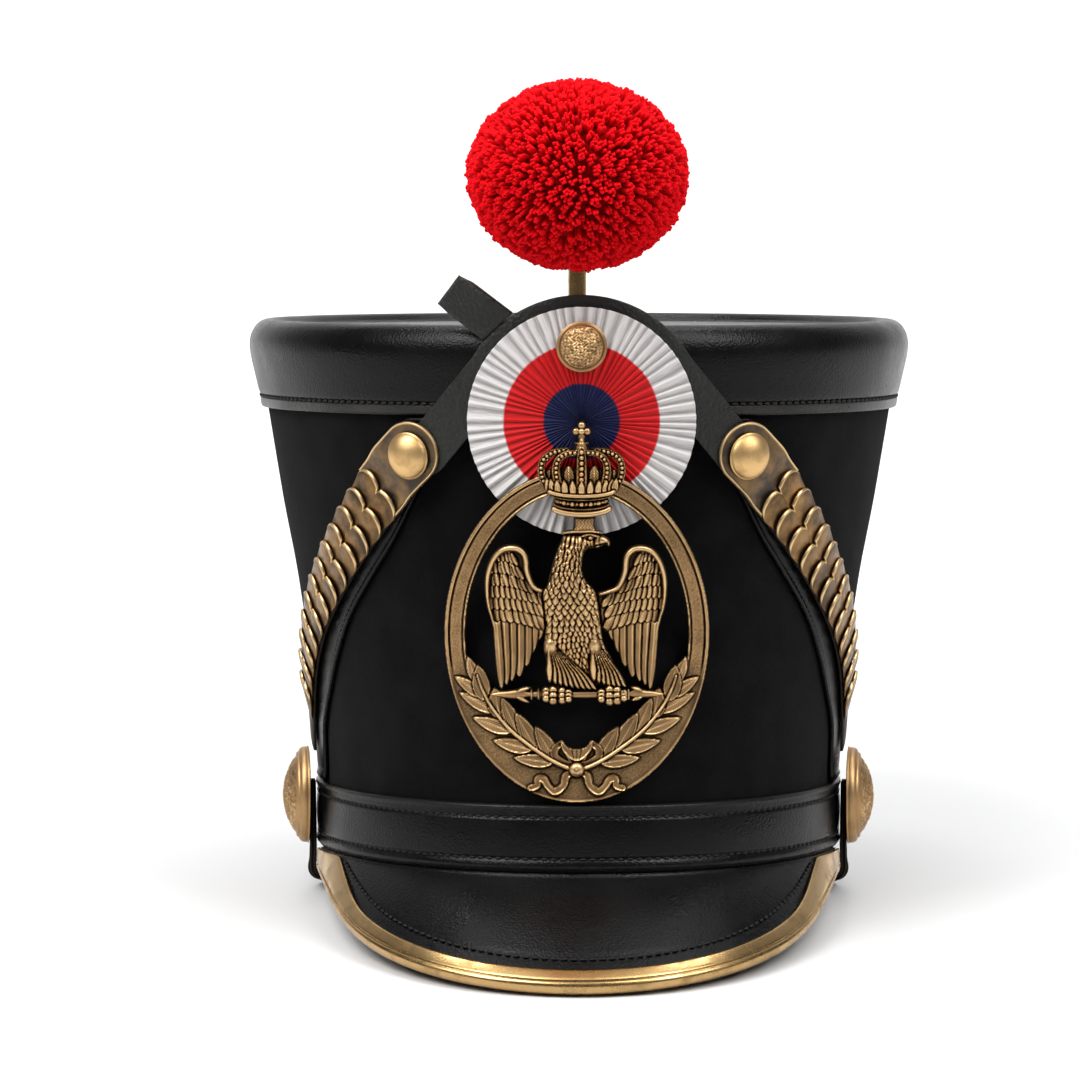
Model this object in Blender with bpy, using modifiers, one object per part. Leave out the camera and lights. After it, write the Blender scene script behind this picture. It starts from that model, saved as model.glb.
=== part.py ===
"""A French-type military shako: felt body, leather top, band and visor, brass fittings.

The hat is modelled upright, in millimetres, with +X to the wearer's left as seen from the
front, -Y to the front and z = 0 at the lower edge of the head band. At the end the whole hat
is set down on a surface, where it leans back on its visor and the rear of its band.
"""
import math

import bmesh
import bpy
import numpy as np
from mathutils import Matrix, Vector

MM = 0.001
GAP = 0.3                  # clearance between two pieces that touch
SIDES = 36                 # facets round the hat

# Felt body: outside half width and half depth at each height above the band's lower edge
FELT_SECTIONS = (
    # height, half_width, half_depth
    (0.3, 83.6, 101.6),
    (21.5, 83.8, 101.8),
    (50.0, 86.2, 103.6),
    (91.0, 92.4, 107.6),
    (112.0, 96.6, 110.4),
    (138.0, 100.9, 113.6),
    (163.0, 104.9, 117.0),
    (167.0, 105.2, 117.3),
)
FELT_WALL = 2.5
BAND_HEIGHT = 21.5
BAND_WALL = 2.0
BAND_EDGE = 0.9
LEATHER_WALL = 1.6

# Leather top: height, and how far its face stands out from the felt
TOP_SECTIONS = (
    # height, stand_out
    (143.4, 1.9),
    (148.0, 2.2),
    (157.0, 2.4),
    (164.5, 2.5),
    (169.5, 1.9),
    (172.0, -0.9),
    (171.2, -3.8),
    (169.0, -5.2),
)
TOP_DISC_HEIGHT = 169.0

# Visor: how far it reaches from the band, and how steeply it falls
VISOR_SPAN = 78.5          # degrees to each side of the front
VISOR_REACH = 50.0
VISOR_END_REACH = 8.0
VISOR_SLOPE = 38.7
VISOR_END_SLOPE = 86.0
VISOR_DOME = 1.2
VISOR_WALL = 2.2
VISOR_STEPS = 22
TRIM_FACE = 7.5
TRIM_LIP = 3.4
TRIM_WALL = 0.8
TRIM_PLAY = 0.55           # room between the leather and the brass folded round it

# Scale strap: its middle line round the side of the hat, from the button down to the rosette
STRAP_PATH = (
    # degrees_from_front, height, width
    (30.0, 131.5, 20.0),
    (37.5, 120.0, 20.0),
    (46.0, 106.5, 19.0),
    (56.0, 91.0, 18.0),
    (66.0, 75.5, 17.0),
    (74.0, 60.5, 15.5),
    (79.5, 46.0, 13.5),
    (82.5, 33.0, 12.0),
)
LINING_END = 121.0
LINING_OFFSET = 2.0
LINING_WALL = 1.0
SCALE_COUNT = 12
SCALE_WALL = 0.6
SCALE_LENGTH = 13.0
SCALE_TILT = 11.0          # degrees, free edge up
FIRST_SCALE = 15.5         # from the button's centre to the first free edge
LAST_SCALE = 112.0
END_PLATE_LENGTH = 20.0
END_PLATE_WALL = 0.8
STRAP_BUTTON_RADIUS = 7.0
STRAP_BUTTON_RISE = 4.6

# Rosettes on the band
ROSETTE_ANGLE = 84.0
ROSETTE_HEIGHT = 16.2
ROSETTE_RADIUS = 15.6

# Leather V on each side, front half; the rear half mirrors it about the rosette
CHEVRON_SECTIONS = (
    # degrees_from_front, lower_edge, upper_edge
    (20.5, 141.6, 142.8),
    (26.0, 130.0, 142.8),
    (31.5, 116.0, 142.8),
    (36.8, 103.5, 132.5),
    (43.7, 91.5, 121.0),
    (51.7, 78.5, 108.5),
    (57.0, 68.5, 98.5),
    (64.0, 54.5, 83.5),
    (71.0, 40.0, 69.5),
    (74.5, 21.9, 62.0),
)
CHEVRON_MIDDLE = (83.5, 21.9, 46.0)
CHEVRON_OFFSET = 0.4
CHEVRON_WALL = 1.0

# Cockade, its leather backing and its button
COCKADE_X = 0.9
COCKADE_HEIGHT = 142.0
COCKADE_RADIUS = 35.5
COCKADE_PLEATS = 26
COCKADE_PLEAT_DEPTH = 0.5
COCKADE_WALL = 1.0
COCKADE_SEAT = 6.4         # middle of the pleats, out from the felt
BACKING_RADIUS = 39.2
BACKING_WALL = 2.0
BACKING_FOOT = 2.5         # how far the cross straps' ends stand out from the felt
BACKING_FACE = 3.3         # how far the disc stands out, clear of the leather top
COCKADE_BUTTON_HEIGHT = 165.3
COCKADE_BUTTON_RADIUS = 7.4
CROSS_STRAP_WIDTH = 14.6
CROSS_STRAP_LENGTH = 36.0
CROSS_STRAP_HEADING = 51.0  # degrees below level, outward
CROSS_STRAP_END = (49.6, 131.8)
LOOP_FOOT = (-26.1, 171.9)
LOOP_WIDTH = 11.2
LOOP_HEADING = 37.0        # degrees above level, outward

# Pompom and its stem
POMPOM_X = -0.5
POMPOM_HEIGHT = 218.0
POMPOM_WIDTH = 70.0
POMPOM_TALL = 60.5
POMPOM_LOCK_FOOT = 0.9     # the hollow between two locks, as a share of the ball's radius
STEM_RADIUS = 2.8
STEM_SOCKET = 14.0

# Front plate: oval ring round a crowned eagle
PLATE_X = -0.5
PLATE_HEIGHT = 74.8
PLATE_HALF_WIDTH = 41.5
PLATE_HALF_HEIGHT = 52.6
PLATE_RING = 6.8
PLATE_WALL = 1.6

PLATE_SEAT = 0.9
PLATE_LIFT = 8.7           # how far the back of the plate stands out over the cockade
PLATE_CLIMB = (62.0, 103.0)
PLATE_STEPS = 36
PLATE_FIELD = (
    # degrees_below_level, reach of the inner edge
    (10.0, 60.0), (16.0, 35.0), (25.0, 33.0), (40.0, 30.0), (62.0, 32.0), (76.0, 35.2), (90.0, 35.6),
)
LAUREL_LEAVES = (
    # root (x, height), tip (x, height), left half
    ((-8.0, 35.0), (-20.0, 36.3)),
    ((-14.5, 39.0), (-26.5, 41.3)),
    ((-21.0, 44.3), (-32.9, 48.8)),
    ((-26.0, 50.5), (-37.0, 56.5)),
    ((-29.0, 55.5), (-38.5, 62.3)),
    ((-6.5, 36.0), (-13.8, 46.6)),
    ((-12.5, 39.5), (-19.4, 51.6)),
    ((-18.5, 43.8), (-23.2, 55.4)),
    ((-24.0, 49.5), (-26.2, 61.0)),
    ((-28.5, 56.0), (-31.5, 66.8)),
)
LAUREL_STEM = ((-2.5, 33.6), (-12.0, 37.6), (-21.5, 45.5), (-28.0, 54.5), (-31.2, 62.5))
BOW_LOOP = ((-1.5, 34.5), (-5.8, 38.5), (-6.0, 41.5), (-3.0, 40.5), (-1.8, 37.2))
BOW_TAIL = ((-1.5, 32.5), (-5.0, 29.0), (-8.0, 31.0), (-11.5, 29.0), (-14.6, 27.4))
EAGLE_BODY = (
    # height, left, right, rise
    (113.5, -2.4, 5.4, 2.6),
    (108.5, -2.6, 5.6, 3.0),
    (106.3, -5.8, 5.0, 4.0),
    (103.0, -7.6, 4.6, 4.8),
    (98.0, -8.4, 1.2, 4.8),
    (93.5, -9.8, 1.8, 5.2),
    (88.0, -11.0, 4.6, 5.6),
    (78.0, -11.0, 6.4, 5.6),
    (66.0, -7.2, 7.6, 3.8),
)
EAGLE_BEAK = (
    # height, left, right, rise
    (106.8, 1.0, 6.2, 3.4), (105.2, 1.0, 9.0, 3.4), (103.6, 1.4, 9.8, 2.6), (102.4, 2.0, 9.2, 2.0),
)
EAGLE_TAIL = (
    # height, left, right, rise
    (70.0, -6.0, 6.0, 3.4), (65.0, -4.6, 5.8, 3.2), (60.5, -0.5, 7.0, 2.8), (57.6, 3.4, 7.0, 2.2),
)
EAGLE_WING = (
    # height, left, right, rise
    (103.0, -22.2, -18.6, 2.0),
    (100.8, -25.6, -17.0, 2.8),
    (96.0, -28.0, -15.6, 3.2),
    (91.5, -28.9, -10.5, 3.5),
    (87.0, -28.9, -5.0, 3.6),
    (78.0, -27.1, -4.5, 3.2),
    (72.0, -25.8, -12.2, 2.8),
    (64.0, -24.4, -17.0, 2.2),
    (58.6, -24.0, -22.4, 1.6),
)
THIGHS = (-7.6, 4.4)       # left edge of each
THIGH = (
    # height, left, right, rise
    (73.5, 0.6, 5.4, 5.2),
    (71.0, -0.6, 7.2, 6.2),
    (66.0, -0.8, 8.4, 6.0),
    (61.0, 0.2, 8.6, 5.0),
    (57.5, 1.8, 8.2, 4.6),
    (54.4, 1.4, 8.6, 4.2),
)
CROWN = (
    # height, left, right, rise
    (112.4, -6.4, 9.6, 2.8),
    (113.6, -7.4, 10.4, 3.8),
    (119.0, -7.6, 10.4, 4.2),
    (120.4, -9.0, 11.4, 4.6),
    (124.5, -11.6, 13.4, 5.2),
    (128.0, -12.0, 13.8, 5.2),
    (131.0, -10.0, 11.8, 4.8),
    (133.0, -5.4, 7.2, 4.2),
    (134.2, -1.8, 3.6, 3.6),
)
CROWN_CROSS = (
    # height, left, right, rise
    (133.2, -0.8, 2.4, 2.8),
    (134.8, -1.3, 2.9, 3.6),
    (136.6, -1.0, 2.6, 3.6),
    (137.4, 0.1, 1.5, 2.8),
    (138.2, 0.0, 1.6, 2.8),
    (138.9, -1.7, 3.3, 3.0),
    (140.2, -1.7, 3.3, 3.0),
    (140.7, 0.0, 1.6, 2.8),
    (141.8, 0.1, 1.5, 2.4),
)
CROWN_WINDOWS = (
    # x, height, width, tall
    (-8.3, 129.2, 2.0, 3.4), (-3.6, 130.6, 2.8, 3.4), (5.4, 130.6, 2.8, 3.4), (10.1, 129.2, 2.0, 3.4),
)

# Chin strap: half of its run, right rosette to the middle of the loop that lies behind
CHIN_STRAP_WIDTH = 9.0
CHIN_STRAP_WALL = 2.0
CHIN_STRAP_TOP = 21.0
CHIN_STRAP_RUN = (
    # x, y, height above the surface that the hat rests on
    (86.6, -8.0, 7.0),
    (82.5, -3.0, 2.6),
)
CHIN_STRAP_FLOOR = (
    # x, y
    (75.0, 7.0), (64.0, 23.0), (50.0, 41.0), (33.0, 55.0), (15.0, 63.0), (0.0, 65.5),
)


# ---------------------------------------------------------------- helpers

def material(name, colour, roughness, metallic):
    """A Principled material; colour is sRGB 0-255."""
    made = bpy.data.materials.new(name)
    made.use_nodes = True
    shader = made.node_tree.nodes["Principled BSDF"]
    linear = [(channel / 255) ** 2.2 for channel in colour]
    shader.inputs["Base Color"].default_value = (*linear, 1)
    shader.inputs["Roughness"].default_value = roughness
    shader.inputs["Metallic"].default_value = metallic
    return made


def put(mesh, name, finish, rounded=True):
    """Link a mesh into the hat's collection as a named piece."""
    piece = bpy.data.objects.new(name, mesh)
    piece.data.materials.clear()
    piece.data.materials.append(material(name, *finish))
    hat.objects.link(piece)
    if rounded:
        mesh.shade_smooth()
        mesh.set_sharp_from_angle(angle=math.radians(35))
    return piece


def mesh_of(points, faces):
    """A mesh from points in millimetres and faces."""
    mesh = bpy.data.meshes.new("piece")
    mesh.from_pydata([Vector(point) * MM for point in points], [], faces)
    mesh.update()
    return mesh


def loft(rings, closed_ring=True, closed_run=False, caps=False, poles=(None, None)):
    """Skin a run of rings, which all have the same number of points, with caps or poles."""
    count = len(rings[0])
    points = [point for ring in rings for point in ring]
    faces = []
    last_run = len(rings) if closed_run else len(rings) - 1
    last_side = count if closed_ring else count - 1
    for run in range(last_run):
        for side in range(last_side):
            low = run * count
            high = (run + 1) % len(rings) * count
            turn = (side + 1) % count
            faces.append((low + side, low + turn, high + turn, high + side))
    if caps:
        faces.append(tuple(reversed(range(count))))
        faces.append(tuple(range(len(points) - count, len(points))))
    for pole, start, turn in ((poles[0], 0, -1), (poles[1], (len(rings) - 1) * count, 1)):
        if pole is not None:
            rim = [start + side for side in range(count)][::turn]
            faces += [(rim[side - 1], rim[side], len(points)) for side in range(count)]
            points.append(pole)
    return mesh_of(points, faces)


def outward(mesh):
    """Turn every face of a closed mesh to point out."""
    work = bmesh.new()
    work.from_mesh(mesh)
    bmesh.ops.recalc_face_normals(work, faces=work.faces)
    work.to_mesh(mesh)
    work.free()
    return mesh


def thicken(piece, wall, offset=-1.0):
    """Give an open surface its wall."""
    solidify = piece.modifiers.new("wall", "SOLIDIFY")
    solidify.thickness = wall * MM
    solidify.offset = offset
    solidify.use_even_offset = True
    return piece


def smooth_rows(rows, parts):
    """Rows of numbers with parts - 1 new rows between each two, on a smooth curve."""
    rows = np.array(rows, dtype=float)
    padded = np.vstack([2 * rows[0] - rows[1], rows, 2 * rows[-1] - rows[-2]])
    made = []
    for index in range(len(rows) - 1):
        before, start, end, after = padded[index:index + 4]
        for step in range(parts):
            t = step / parts
            made.append(0.5 * (2 * start + (end - before) * t
                               + (2 * before - 5 * start + 4 * end - after) * t ** 2
                               + (3 * start - 3 * end + after - before) * t ** 3))
    made.append(rows[-1])
    return np.array(made)


def ease(value):
    """0 below 0, 1 above 1, and smooth between."""
    value = min(max(value, 0.0), 1.0)
    return value * value * (3 - 2 * value)


# ---------------------------------------------------------------- the hat's oval

def oval(height):
    """Half width and half depth of the felt at a height."""
    heights, widths, depths = zip(*FELT_SECTIONS)
    return np.interp(height, heights, widths), np.interp(height, heights, depths)


def on_hat(angle, height, offset=0.0):
    """Point at an angle from the front, this far out from the felt."""
    half_width, half_depth = oval(height)
    x, y = half_width * math.sin(angle), -half_depth * math.cos(angle)
    across, along = math.sin(angle) / half_width, -math.cos(angle) / half_depth
    size = math.hypot(across, along)
    return Vector((x + across / size * offset, y + along / size * offset, height))


def from_front(x, height, offset=0.0):
    """Point on the front of the hat that is seen at x and height."""
    half_width, _ = oval(height)
    angle = 0.0
    for _ in range(4):
        stand = on_hat(angle, height, offset).x - half_width * math.sin(angle)
        angle = math.asin(min(max((x - stand) / half_width, -1.0), 1.0))
    return on_hat(angle, height, offset)


def out_from(point, offset=0.0):
    """Direction straight out of the hat's surface at a point on it."""
    half_width, half_depth = oval(point.z)
    angle = math.atan2(point.x / half_width, -point.y / half_depth)
    round_hat = on_hat(angle + 0.02, point.z, offset) - on_hat(angle - 0.02, point.z, offset)
    up_hat = on_hat(angle, point.z + 6.0, offset) - on_hat(angle, point.z - 6.0, offset)
    return round_hat.cross(up_hat).normalized()


def ring_at(height, offset, sides=SIDES):
    """Ring of points round the hat."""
    return [on_hat(2 * math.pi * side / sides, height, offset) for side in range(sides)]


# ---------------------------------------------------------------- body, top and band

def felt_body():
    rings = [ring_at(height, 0.0) for height, _, _ in FELT_SECTIONS]
    piece = put(loft(rings), "felt_body", FELT)
    return thicken(piece, FELT_WALL)


def top_leather():
    rings = [ring_at(height, stand_out) for height, stand_out in TOP_SECTIONS]
    mesh = loft(rings, poles=(None, Vector((0, 0, TOP_DISC_HEIGHT))))
    return thicken(put(mesh, "top_leather", LEATHER), LEATHER_WALL)


def head_band():
    inner, outer, edge = GAP, GAP + BAND_WALL, BAND_EDGE
    section = (
        # offset, height
        (inner, 0.0), (outer - edge, 0.0), (outer, edge),
        (outer, BAND_HEIGHT - edge), (outer - edge, BAND_HEIGHT), (inner, BAND_HEIGHT),
    )
    rings = [ring_at(height, offset) for offset, height in section]
    return put(outward(loft(rings, closed_run=True)), "head_band", LEATHER)


# ---------------------------------------------------------------- visor

def visor_frame(turn):
    """Foot, outward direction, normal and reach of the visor; turn runs from -1 to 1."""
    angle = math.radians(VISOR_SPAN) * turn
    foot = on_hat(angle, 0.0, GAP + BAND_WALL)
    flat = (foot - on_hat(angle, 0.0)).normalized()
    steep = VISOR_SLOPE + (VISOR_END_SLOPE - VISOR_SLOPE) * abs(turn) ** 2.8
    slope = math.radians(steep)
    down = Vector((0, 0, -1))
    along = flat * math.cos(slope) + down * math.sin(slope)
    normal = flat * math.sin(slope) - down * math.cos(slope)
    narrow = max(math.cos(turn * math.pi / 2), 0.0) ** 1.9
    reach = VISOR_END_REACH + (VISOR_REACH - VISOR_END_REACH) * narrow
    return foot, along, normal, reach


def visor():
    rings = []
    for step in range(VISOR_STEPS + 1):
        foot, along, normal, reach = visor_frame(2 * step / VISOR_STEPS - 1)
        start, end = 0.4, reach - TRIM_WALL - TRIM_PLAY
        under_trim = max(end - TRIM_FACE, start + 0.5)
        dome = VISOR_DOME * reach / VISOR_REACH
        middle = (start + under_trim) / 2
        section = (
            # out from the band, rise
            (start, 0.0), (middle, dome), (under_trim, 0.0), (end, 0.0),
            (end, -VISOR_WALL), (under_trim, -VISOR_WALL), (middle, dome - VISOR_WALL),
            (start, -VISOR_WALL),
        )
        rings.append([foot + along * out + normal * (rise - TRIM_PLAY) for out, rise in section])
    return put(outward(loft(rings, caps=True)), "visor", LEATHER)


def visor_trim():
    under = -TRIM_PLAY - VISOR_WALL - TRIM_PLAY
    rings = []
    for step in range(VISOR_STEPS + 1):
        foot, along, normal, reach = visor_frame(2 * step / VISOR_STEPS - 1)
        face = min(TRIM_FACE, reach - 0.6)
        section = (
            # in from the edge, rise from the visor's face
            (face, 0.0), (face, TRIM_WALL), (0.4, TRIM_WALL), (0.0, TRIM_WALL - 0.4),
            (0.0, under - TRIM_WALL + 0.4), (0.4, under - TRIM_WALL),
            (TRIM_LIP, under - TRIM_WALL), (TRIM_LIP, under),
            (TRIM_WALL, under), (TRIM_WALL, 0.0),
        )
        rings.append([foot + along * (reach - edge) + normal * rise for edge, rise in section])
    return put(outward(loft(rings, caps=True)), "visor_trim", BRASS)


# ---------------------------------------------------------------- leather laid on the felt

def chevron(side):
    """Leather V: columns round the hat, each with a lower and an upper edge."""
    front = [tuple(row) for row in CHEVRON_SECTIONS]
    middle = CHEVRON_MIDDLE[0]
    rear = [(2 * middle - degrees, low, high) for degrees, low, high in reversed(front)]
    rings = []
    for degrees, low, high in front + [CHEVRON_MIDDLE] + rear:
        angle = side * math.radians(degrees)
        heights = [low + (high - low) * share for share in (0.0, 0.5, 1.0)]
        inner = [on_hat(angle, height, CHEVRON_OFFSET) for height in heights]
        outer = [on_hat(angle, height, CHEVRON_OFFSET + CHEVRON_WALL) for height in heights]
        rings.append(inner + outer[::-1])
    name = "chevron_left" if side < 0 else "chevron_right"
    return put(outward(loft(rings, caps=True)), name, LEATHER)


def strap_line():
    """The strap's middle line with how far along it each row lies: angle, height, width, run."""
    rows = smooth_rows(STRAP_PATH, 6)
    angles = np.radians(rows[:, 0])
    points = np.array([on_hat(angle, height) for angle, height in zip(angles, rows[:, 1])])
    steps = np.linalg.norm(np.diff(points, axis=0), axis=1)
    return angles, rows[:, 1], rows[:, 2], np.concatenate([[0.0], np.cumsum(steps)])


def strap_frame(run, offset, side):
    """Place on the strap: matrix with X across it, Y up towards the button, Z out, and width."""
    angles, heights, widths, runs = strap_line()
    reach = 1.0
    centre = on_hat(side * np.interp(run, runs, angles), np.interp(run, runs, heights), offset)
    places = []
    for near in (run - reach, run + reach):
        inside = min(max(near, 0.0), runs[-1])
        angle, height = np.interp(inside, runs, angles), np.interp(inside, runs, heights)
        places.append(on_hat(side * angle, height, offset))
    up = (places[0] - places[1]).normalized()
    across = up.cross(out_from(centre)).normalized()
    out = across.cross(up)
    place = Matrix((across, up, out)).transposed().to_4x4()
    place.translation = centre
    if run < 0:
        place.translation = centre - up * run
    return place, float(np.interp(run, runs, widths))


def scale_lining(side):
    """Leather strip under the scales."""
    rings = []
    for run in np.linspace(STRAP_BUTTON_RADIUS + 4.0, LINING_END, 16):
        ring = []
        for offset, shares in ((LINING_OFFSET, (-1, 0, 1)), (LINING_OFFSET + LINING_WALL, (1, 0, -1))):
            for share in shares:
                place, width = strap_frame(run, 0.0, side)
                beside = place @ Vector((share * width * 0.47, 0, 0))
                angle = math.atan2(beside.x / oval(beside.z)[0], -beside.y / oval(beside.z)[1])
                ring.append(on_hat(angle, beside.z, offset))
        rings.append(ring)
    name = "scale_lining_left" if side < 0 else "scale_lining_right"
    return put(outward(loft(rings, caps=True)), name, LEATHER)


def flat_piece(outline, wall, name, finish, place):
    """A flat outline cut from sheet: a filled 2D curve with an extrude, made a mesh."""
    curve = bpy.data.curves.new("outline", "CURVE")
    curve.dimensions = "2D"
    curve.fill_mode = "BOTH"
    curve.extrude = wall / 2 * MM
    spline = curve.splines.new("POLY")
    spline.points.add(len(outline) - 1)
    for point, (x, y) in zip(spline.points, outline):
        point.co = (x * MM, y * MM, 0, 1)
    spline.use_cyclic_u = True
    guide = bpy.data.objects.new("outline", curve)
    hat.objects.link(guide)
    graph = bpy.context.evaluated_depsgraph_get()
    mesh = bpy.data.meshes.new_from_object(guide.evaluated_get(graph))
    bpy.data.objects.remove(guide)
    work = bmesh.new()
    work.from_mesh(mesh)
    bmesh.ops.remove_doubles(work, verts=work.verts, dist=1e-6)
    work.to_mesh(mesh)
    work.free()
    piece = put(outward(mesh), name, finish, rounded=False)
    piece.matrix_world = in_metres(place)
    return piece


def in_metres(place):
    """The same placing with its translation in metres."""
    scaled = place.copy()
    scaled.translation = place.translation * MM
    return scaled


def scale_outline(width):
    """Outline of a scale: a straight tail and two rounded lobes with a nick between them."""
    lobe = width * 0.29
    centre = width / 2 - lobe
    nick = math.acos(-centre / lobe)
    half = [(centre + lobe * math.cos(nick * step / 4), lobe * (math.sin(nick * step / 4) - 1))
            for step in range(5)]
    tail = [(width / 2, -SCALE_LENGTH)]
    right = tail + half
    left = [(-x, y) for x, y in right[-2::-1]]
    return right + left


def scales(side):
    """Overlapping scales, each tilted so that its free edge lies on the one above."""
    tilt = math.radians(SCALE_TILT)
    tail = LINING_OFFSET + LINING_WALL + GAP
    middle_rise = tail + SCALE_WALL / 2 + SCALE_LENGTH * math.sin(tilt)
    for index in range(SCALE_COUNT):
        run = FIRST_SCALE + (LAST_SCALE - FIRST_SCALE) * index / (SCALE_COUNT - 1)
        place, width = strap_frame(run + SCALE_LENGTH / 2, 0.0, side)
        shift = Matrix.Translation((0, SCALE_LENGTH / 2, middle_rise))
        turned = place @ shift @ Matrix.Rotation(tilt, 4, "X")
        name = f"scale_{'left' if side < 0 else 'right'}_{index + 1:02d}"
        flat_piece(scale_outline(width), SCALE_WALL, name, BRASS, turned)


def turned(profile, name, finish, place, steps=14):
    """A turned piece: profile of (radius, height) from the top down, spun round local Z."""
    points = [(radius, 0, height) for radius, height in profile]
    mesh = mesh_of(points, [])
    work = bmesh.new()
    work.from_mesh(mesh)
    work.verts.ensure_lookup_table()
    for index in range(len(points) - 1):
        work.edges.new((work.verts[index], work.verts[index + 1]))
    work.to_mesh(mesh)
    work.free()
    piece = put(mesh, name, finish)
    screw = piece.modifiers.new("turn", "SCREW")
    screw.steps = steps
    screw.render_steps = steps
    screw.use_merge_vertices = True
    screw.merge_threshold = 0.00001
    screw.use_smooth_shade = True
    piece.matrix_world = in_metres(place)
    return piece


def facing(point, out):
    """Placing at a point with local Z along a direction."""
    place = Vector(out).normalized().to_track_quat("Z", "Y").to_matrix().to_4x4()
    place.translation = point
    return place


def dome(radius, rise):
    """Profile of a domed button with a small rolled edge."""
    profile = [(0.0, rise)]
    for degrees in (28, 54, 76):
        turn = math.radians(degrees)
        profile.append((radius * 0.93 * math.sin(turn), 0.6 + (rise - 0.6) * math.cos(turn)))
    return profile + [(radius, 0.7), (radius, 0.0), (0.0, 0.0)]


def end_plate(side):
    """Round-topped brass plate under the button, which runs down under the first scale."""
    rings = []
    place, width = strap_frame(0.0, 0.0, side)
    half = width / 2
    for along in (-9.9, -9.0, -6.5, -3.0, 2.0, 7.0, 12.0, END_PLATE_LENGTH):
        across = half * math.sqrt(max(1 - (along / 10) ** 2, 0.0)) if along < 0 else half
        drop = ease((along - 8.0) / 8.0)
        low = (BACKING_FOOT + BACKING_WALL + GAP) * (1 - drop)
        low += (LINING_OFFSET + LINING_WALL + GAP) * drop
        here, _ = strap_frame(max(along, 0.0), 0.0, side)
        ring = []
        for rise, shares in ((low, (-1, 0, 1)), (low + END_PLATE_WALL, (1, 0, -1))):
            for share in shares:
                beside = here @ Vector((share * across, -min(along, 0.0), 0))
                angle = math.atan2(beside.x / oval(beside.z)[0], -beside.y / oval(beside.z)[1])
                ring.append(on_hat(angle, beside.z, rise))
        rings.append(ring)
    name = "scale_plate_left" if side < 0 else "scale_plate_right"
    return put(outward(loft(rings, caps=True)), name, BRASS)


def strap_button(side):
    seat = BACKING_FOOT + BACKING_WALL + GAP + END_PLATE_WALL + GAP + 0.1
    place, _ = strap_frame(0.0, seat, side)
    name = "scale_button_left" if side < 0 else "scale_button_right"
    return turned(dome(STRAP_BUTTON_RADIUS, STRAP_BUTTON_RISE), name, BRASS, place)


def rosette(side):
    angle = side * math.radians(ROSETTE_ANGLE)
    seat = GAP + BAND_WALL + GAP + CHIN_STRAP_WALL + GAP
    centre = on_hat(angle, ROSETTE_HEIGHT, seat)
    out = centre - on_hat(angle, ROSETTE_HEIGHT)
    edge = ROSETTE_RADIUS
    profile = (
        # radius, height
        (0.0, 8.3), (4.5, 8.0), (8.5, 6.9), (10.6, 5.4), (11.4, 5.2),
        (13.2, 5.6), (edge - 0.4, 3.6), (edge, 2.6), (edge, 0.0), (0.0, 0.0),
    )
    name = "rosette_left" if side < 0 else "rosette_right"
    return turned(profile, name, BRASS, facing(centre, out))


# ---------------------------------------------------------------- cockade and its backing

def laid_disc(centre_x, centre_z, angles, reaches, shares, offsets, wall, name, finish):
    """A disc laid on the front of the hat, with a reach for each angle round its centre."""
    rings = []
    for back in (False, True):
        for share in (shares if not back else shares[::-1]):
            ring = []
            for index in range(len(angles)):
                x = centre_x + share * reaches[index] * math.cos(angles[index])
                height = centre_z + share * reaches[index] * math.sin(angles[index])
                offset = offsets(x, height, share, index) + (0.0 if back else wall)
                ring.append(from_front(x, height, offset))
            rings.append(ring)
    flat = offsets(centre_x, centre_z, 0.0, 0)
    poles = [from_front(centre_x, centre_z, offset) for offset in (flat + wall, flat)]
    return put(outward(loft(rings, poles=poles)), name, finish)


def backing_reach(angle):
    """How far the backing reaches at an angle: its disc, or a cross strap down to a button."""
    reach = BACKING_RADIUS
    end = Vector((CROSS_STRAP_END[0] - COCKADE_X, CROSS_STRAP_END[1] - COCKADE_HEIGHT))
    heading = math.radians(CROSS_STRAP_HEADING)
    start = end + Vector((-math.cos(heading), math.sin(heading))) * CROSS_STRAP_LENGTH
    ray = Vector((abs(math.cos(angle)), math.sin(angle)))
    while reach < 70:
        point = ray * (reach + 0.2)
        share = (point - start).dot(end - start) / (end - start).length_squared
        nearest = start + (end - start) * min(max(share, 0.0), 1.0)
        if (point - nearest).length > CROSS_STRAP_WIDTH / 2:
            return reach
        reach += 0.2
    return reach


def cockade_backing():
    right = (-90, -74, -58, -44, -34, -28, -23, -18, -13, -8, -3, 3, 10, 18, 27, 38, 51, 64, 77)
    degrees = list(right) + [180 - turn for turn in (-90 + 180, *right[:0:-1])]
    angles = [math.radians(turn) for turn in degrees]
    reaches = [backing_reach(angle) for angle in angles]

    def offsets(x, height, share, index):
        lifted = max(ease((height - 139.5) / 9.0), ease((40.0 - abs(x)) / 8.0))
        return BACKING_FOOT + (BACKING_FACE - BACKING_FOOT) * lifted

    laid_disc(COCKADE_X, COCKADE_HEIGHT, angles, reaches, (0.42, 0.74, 1.0), offsets,
              BACKING_WALL, "cockade_backing", LEATHER)


def strap_loop():
    """Folded leather tab on the upper left edge of the backing, pointing up and out."""
    heading = math.radians(LOOP_HEADING)
    along = Vector((-math.cos(heading), math.sin(heading)))
    across = Vector((along.y, -along.x))
    foot = Vector((LOOP_FOOT[0], LOOP_FOOT[1]))
    rings = []
    rows = (
        # along, front face, back face
        (0.0, 2.0, 0.0), (7.0, 2.2, 0.0), (13.0, 2.8, -0.2), (17.0, 3.0, -0.2), (18.0, 2.0, 0.6),
    )
    for run, front, back in rows:
        ring = []
        for rise, sides in ((front, (-1, 0, 1)), (back, (1, 0, -1))):
            for share in sides:
                spot = foot + along * run + across * share * LOOP_WIDTH / 2
                ring.append(from_front(spot.x, spot.y, BACKING_FACE + rise))
        rings.append(ring)
    return put(outward(loft(rings, caps=True)), "strap_loop", LEATHER)


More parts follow.
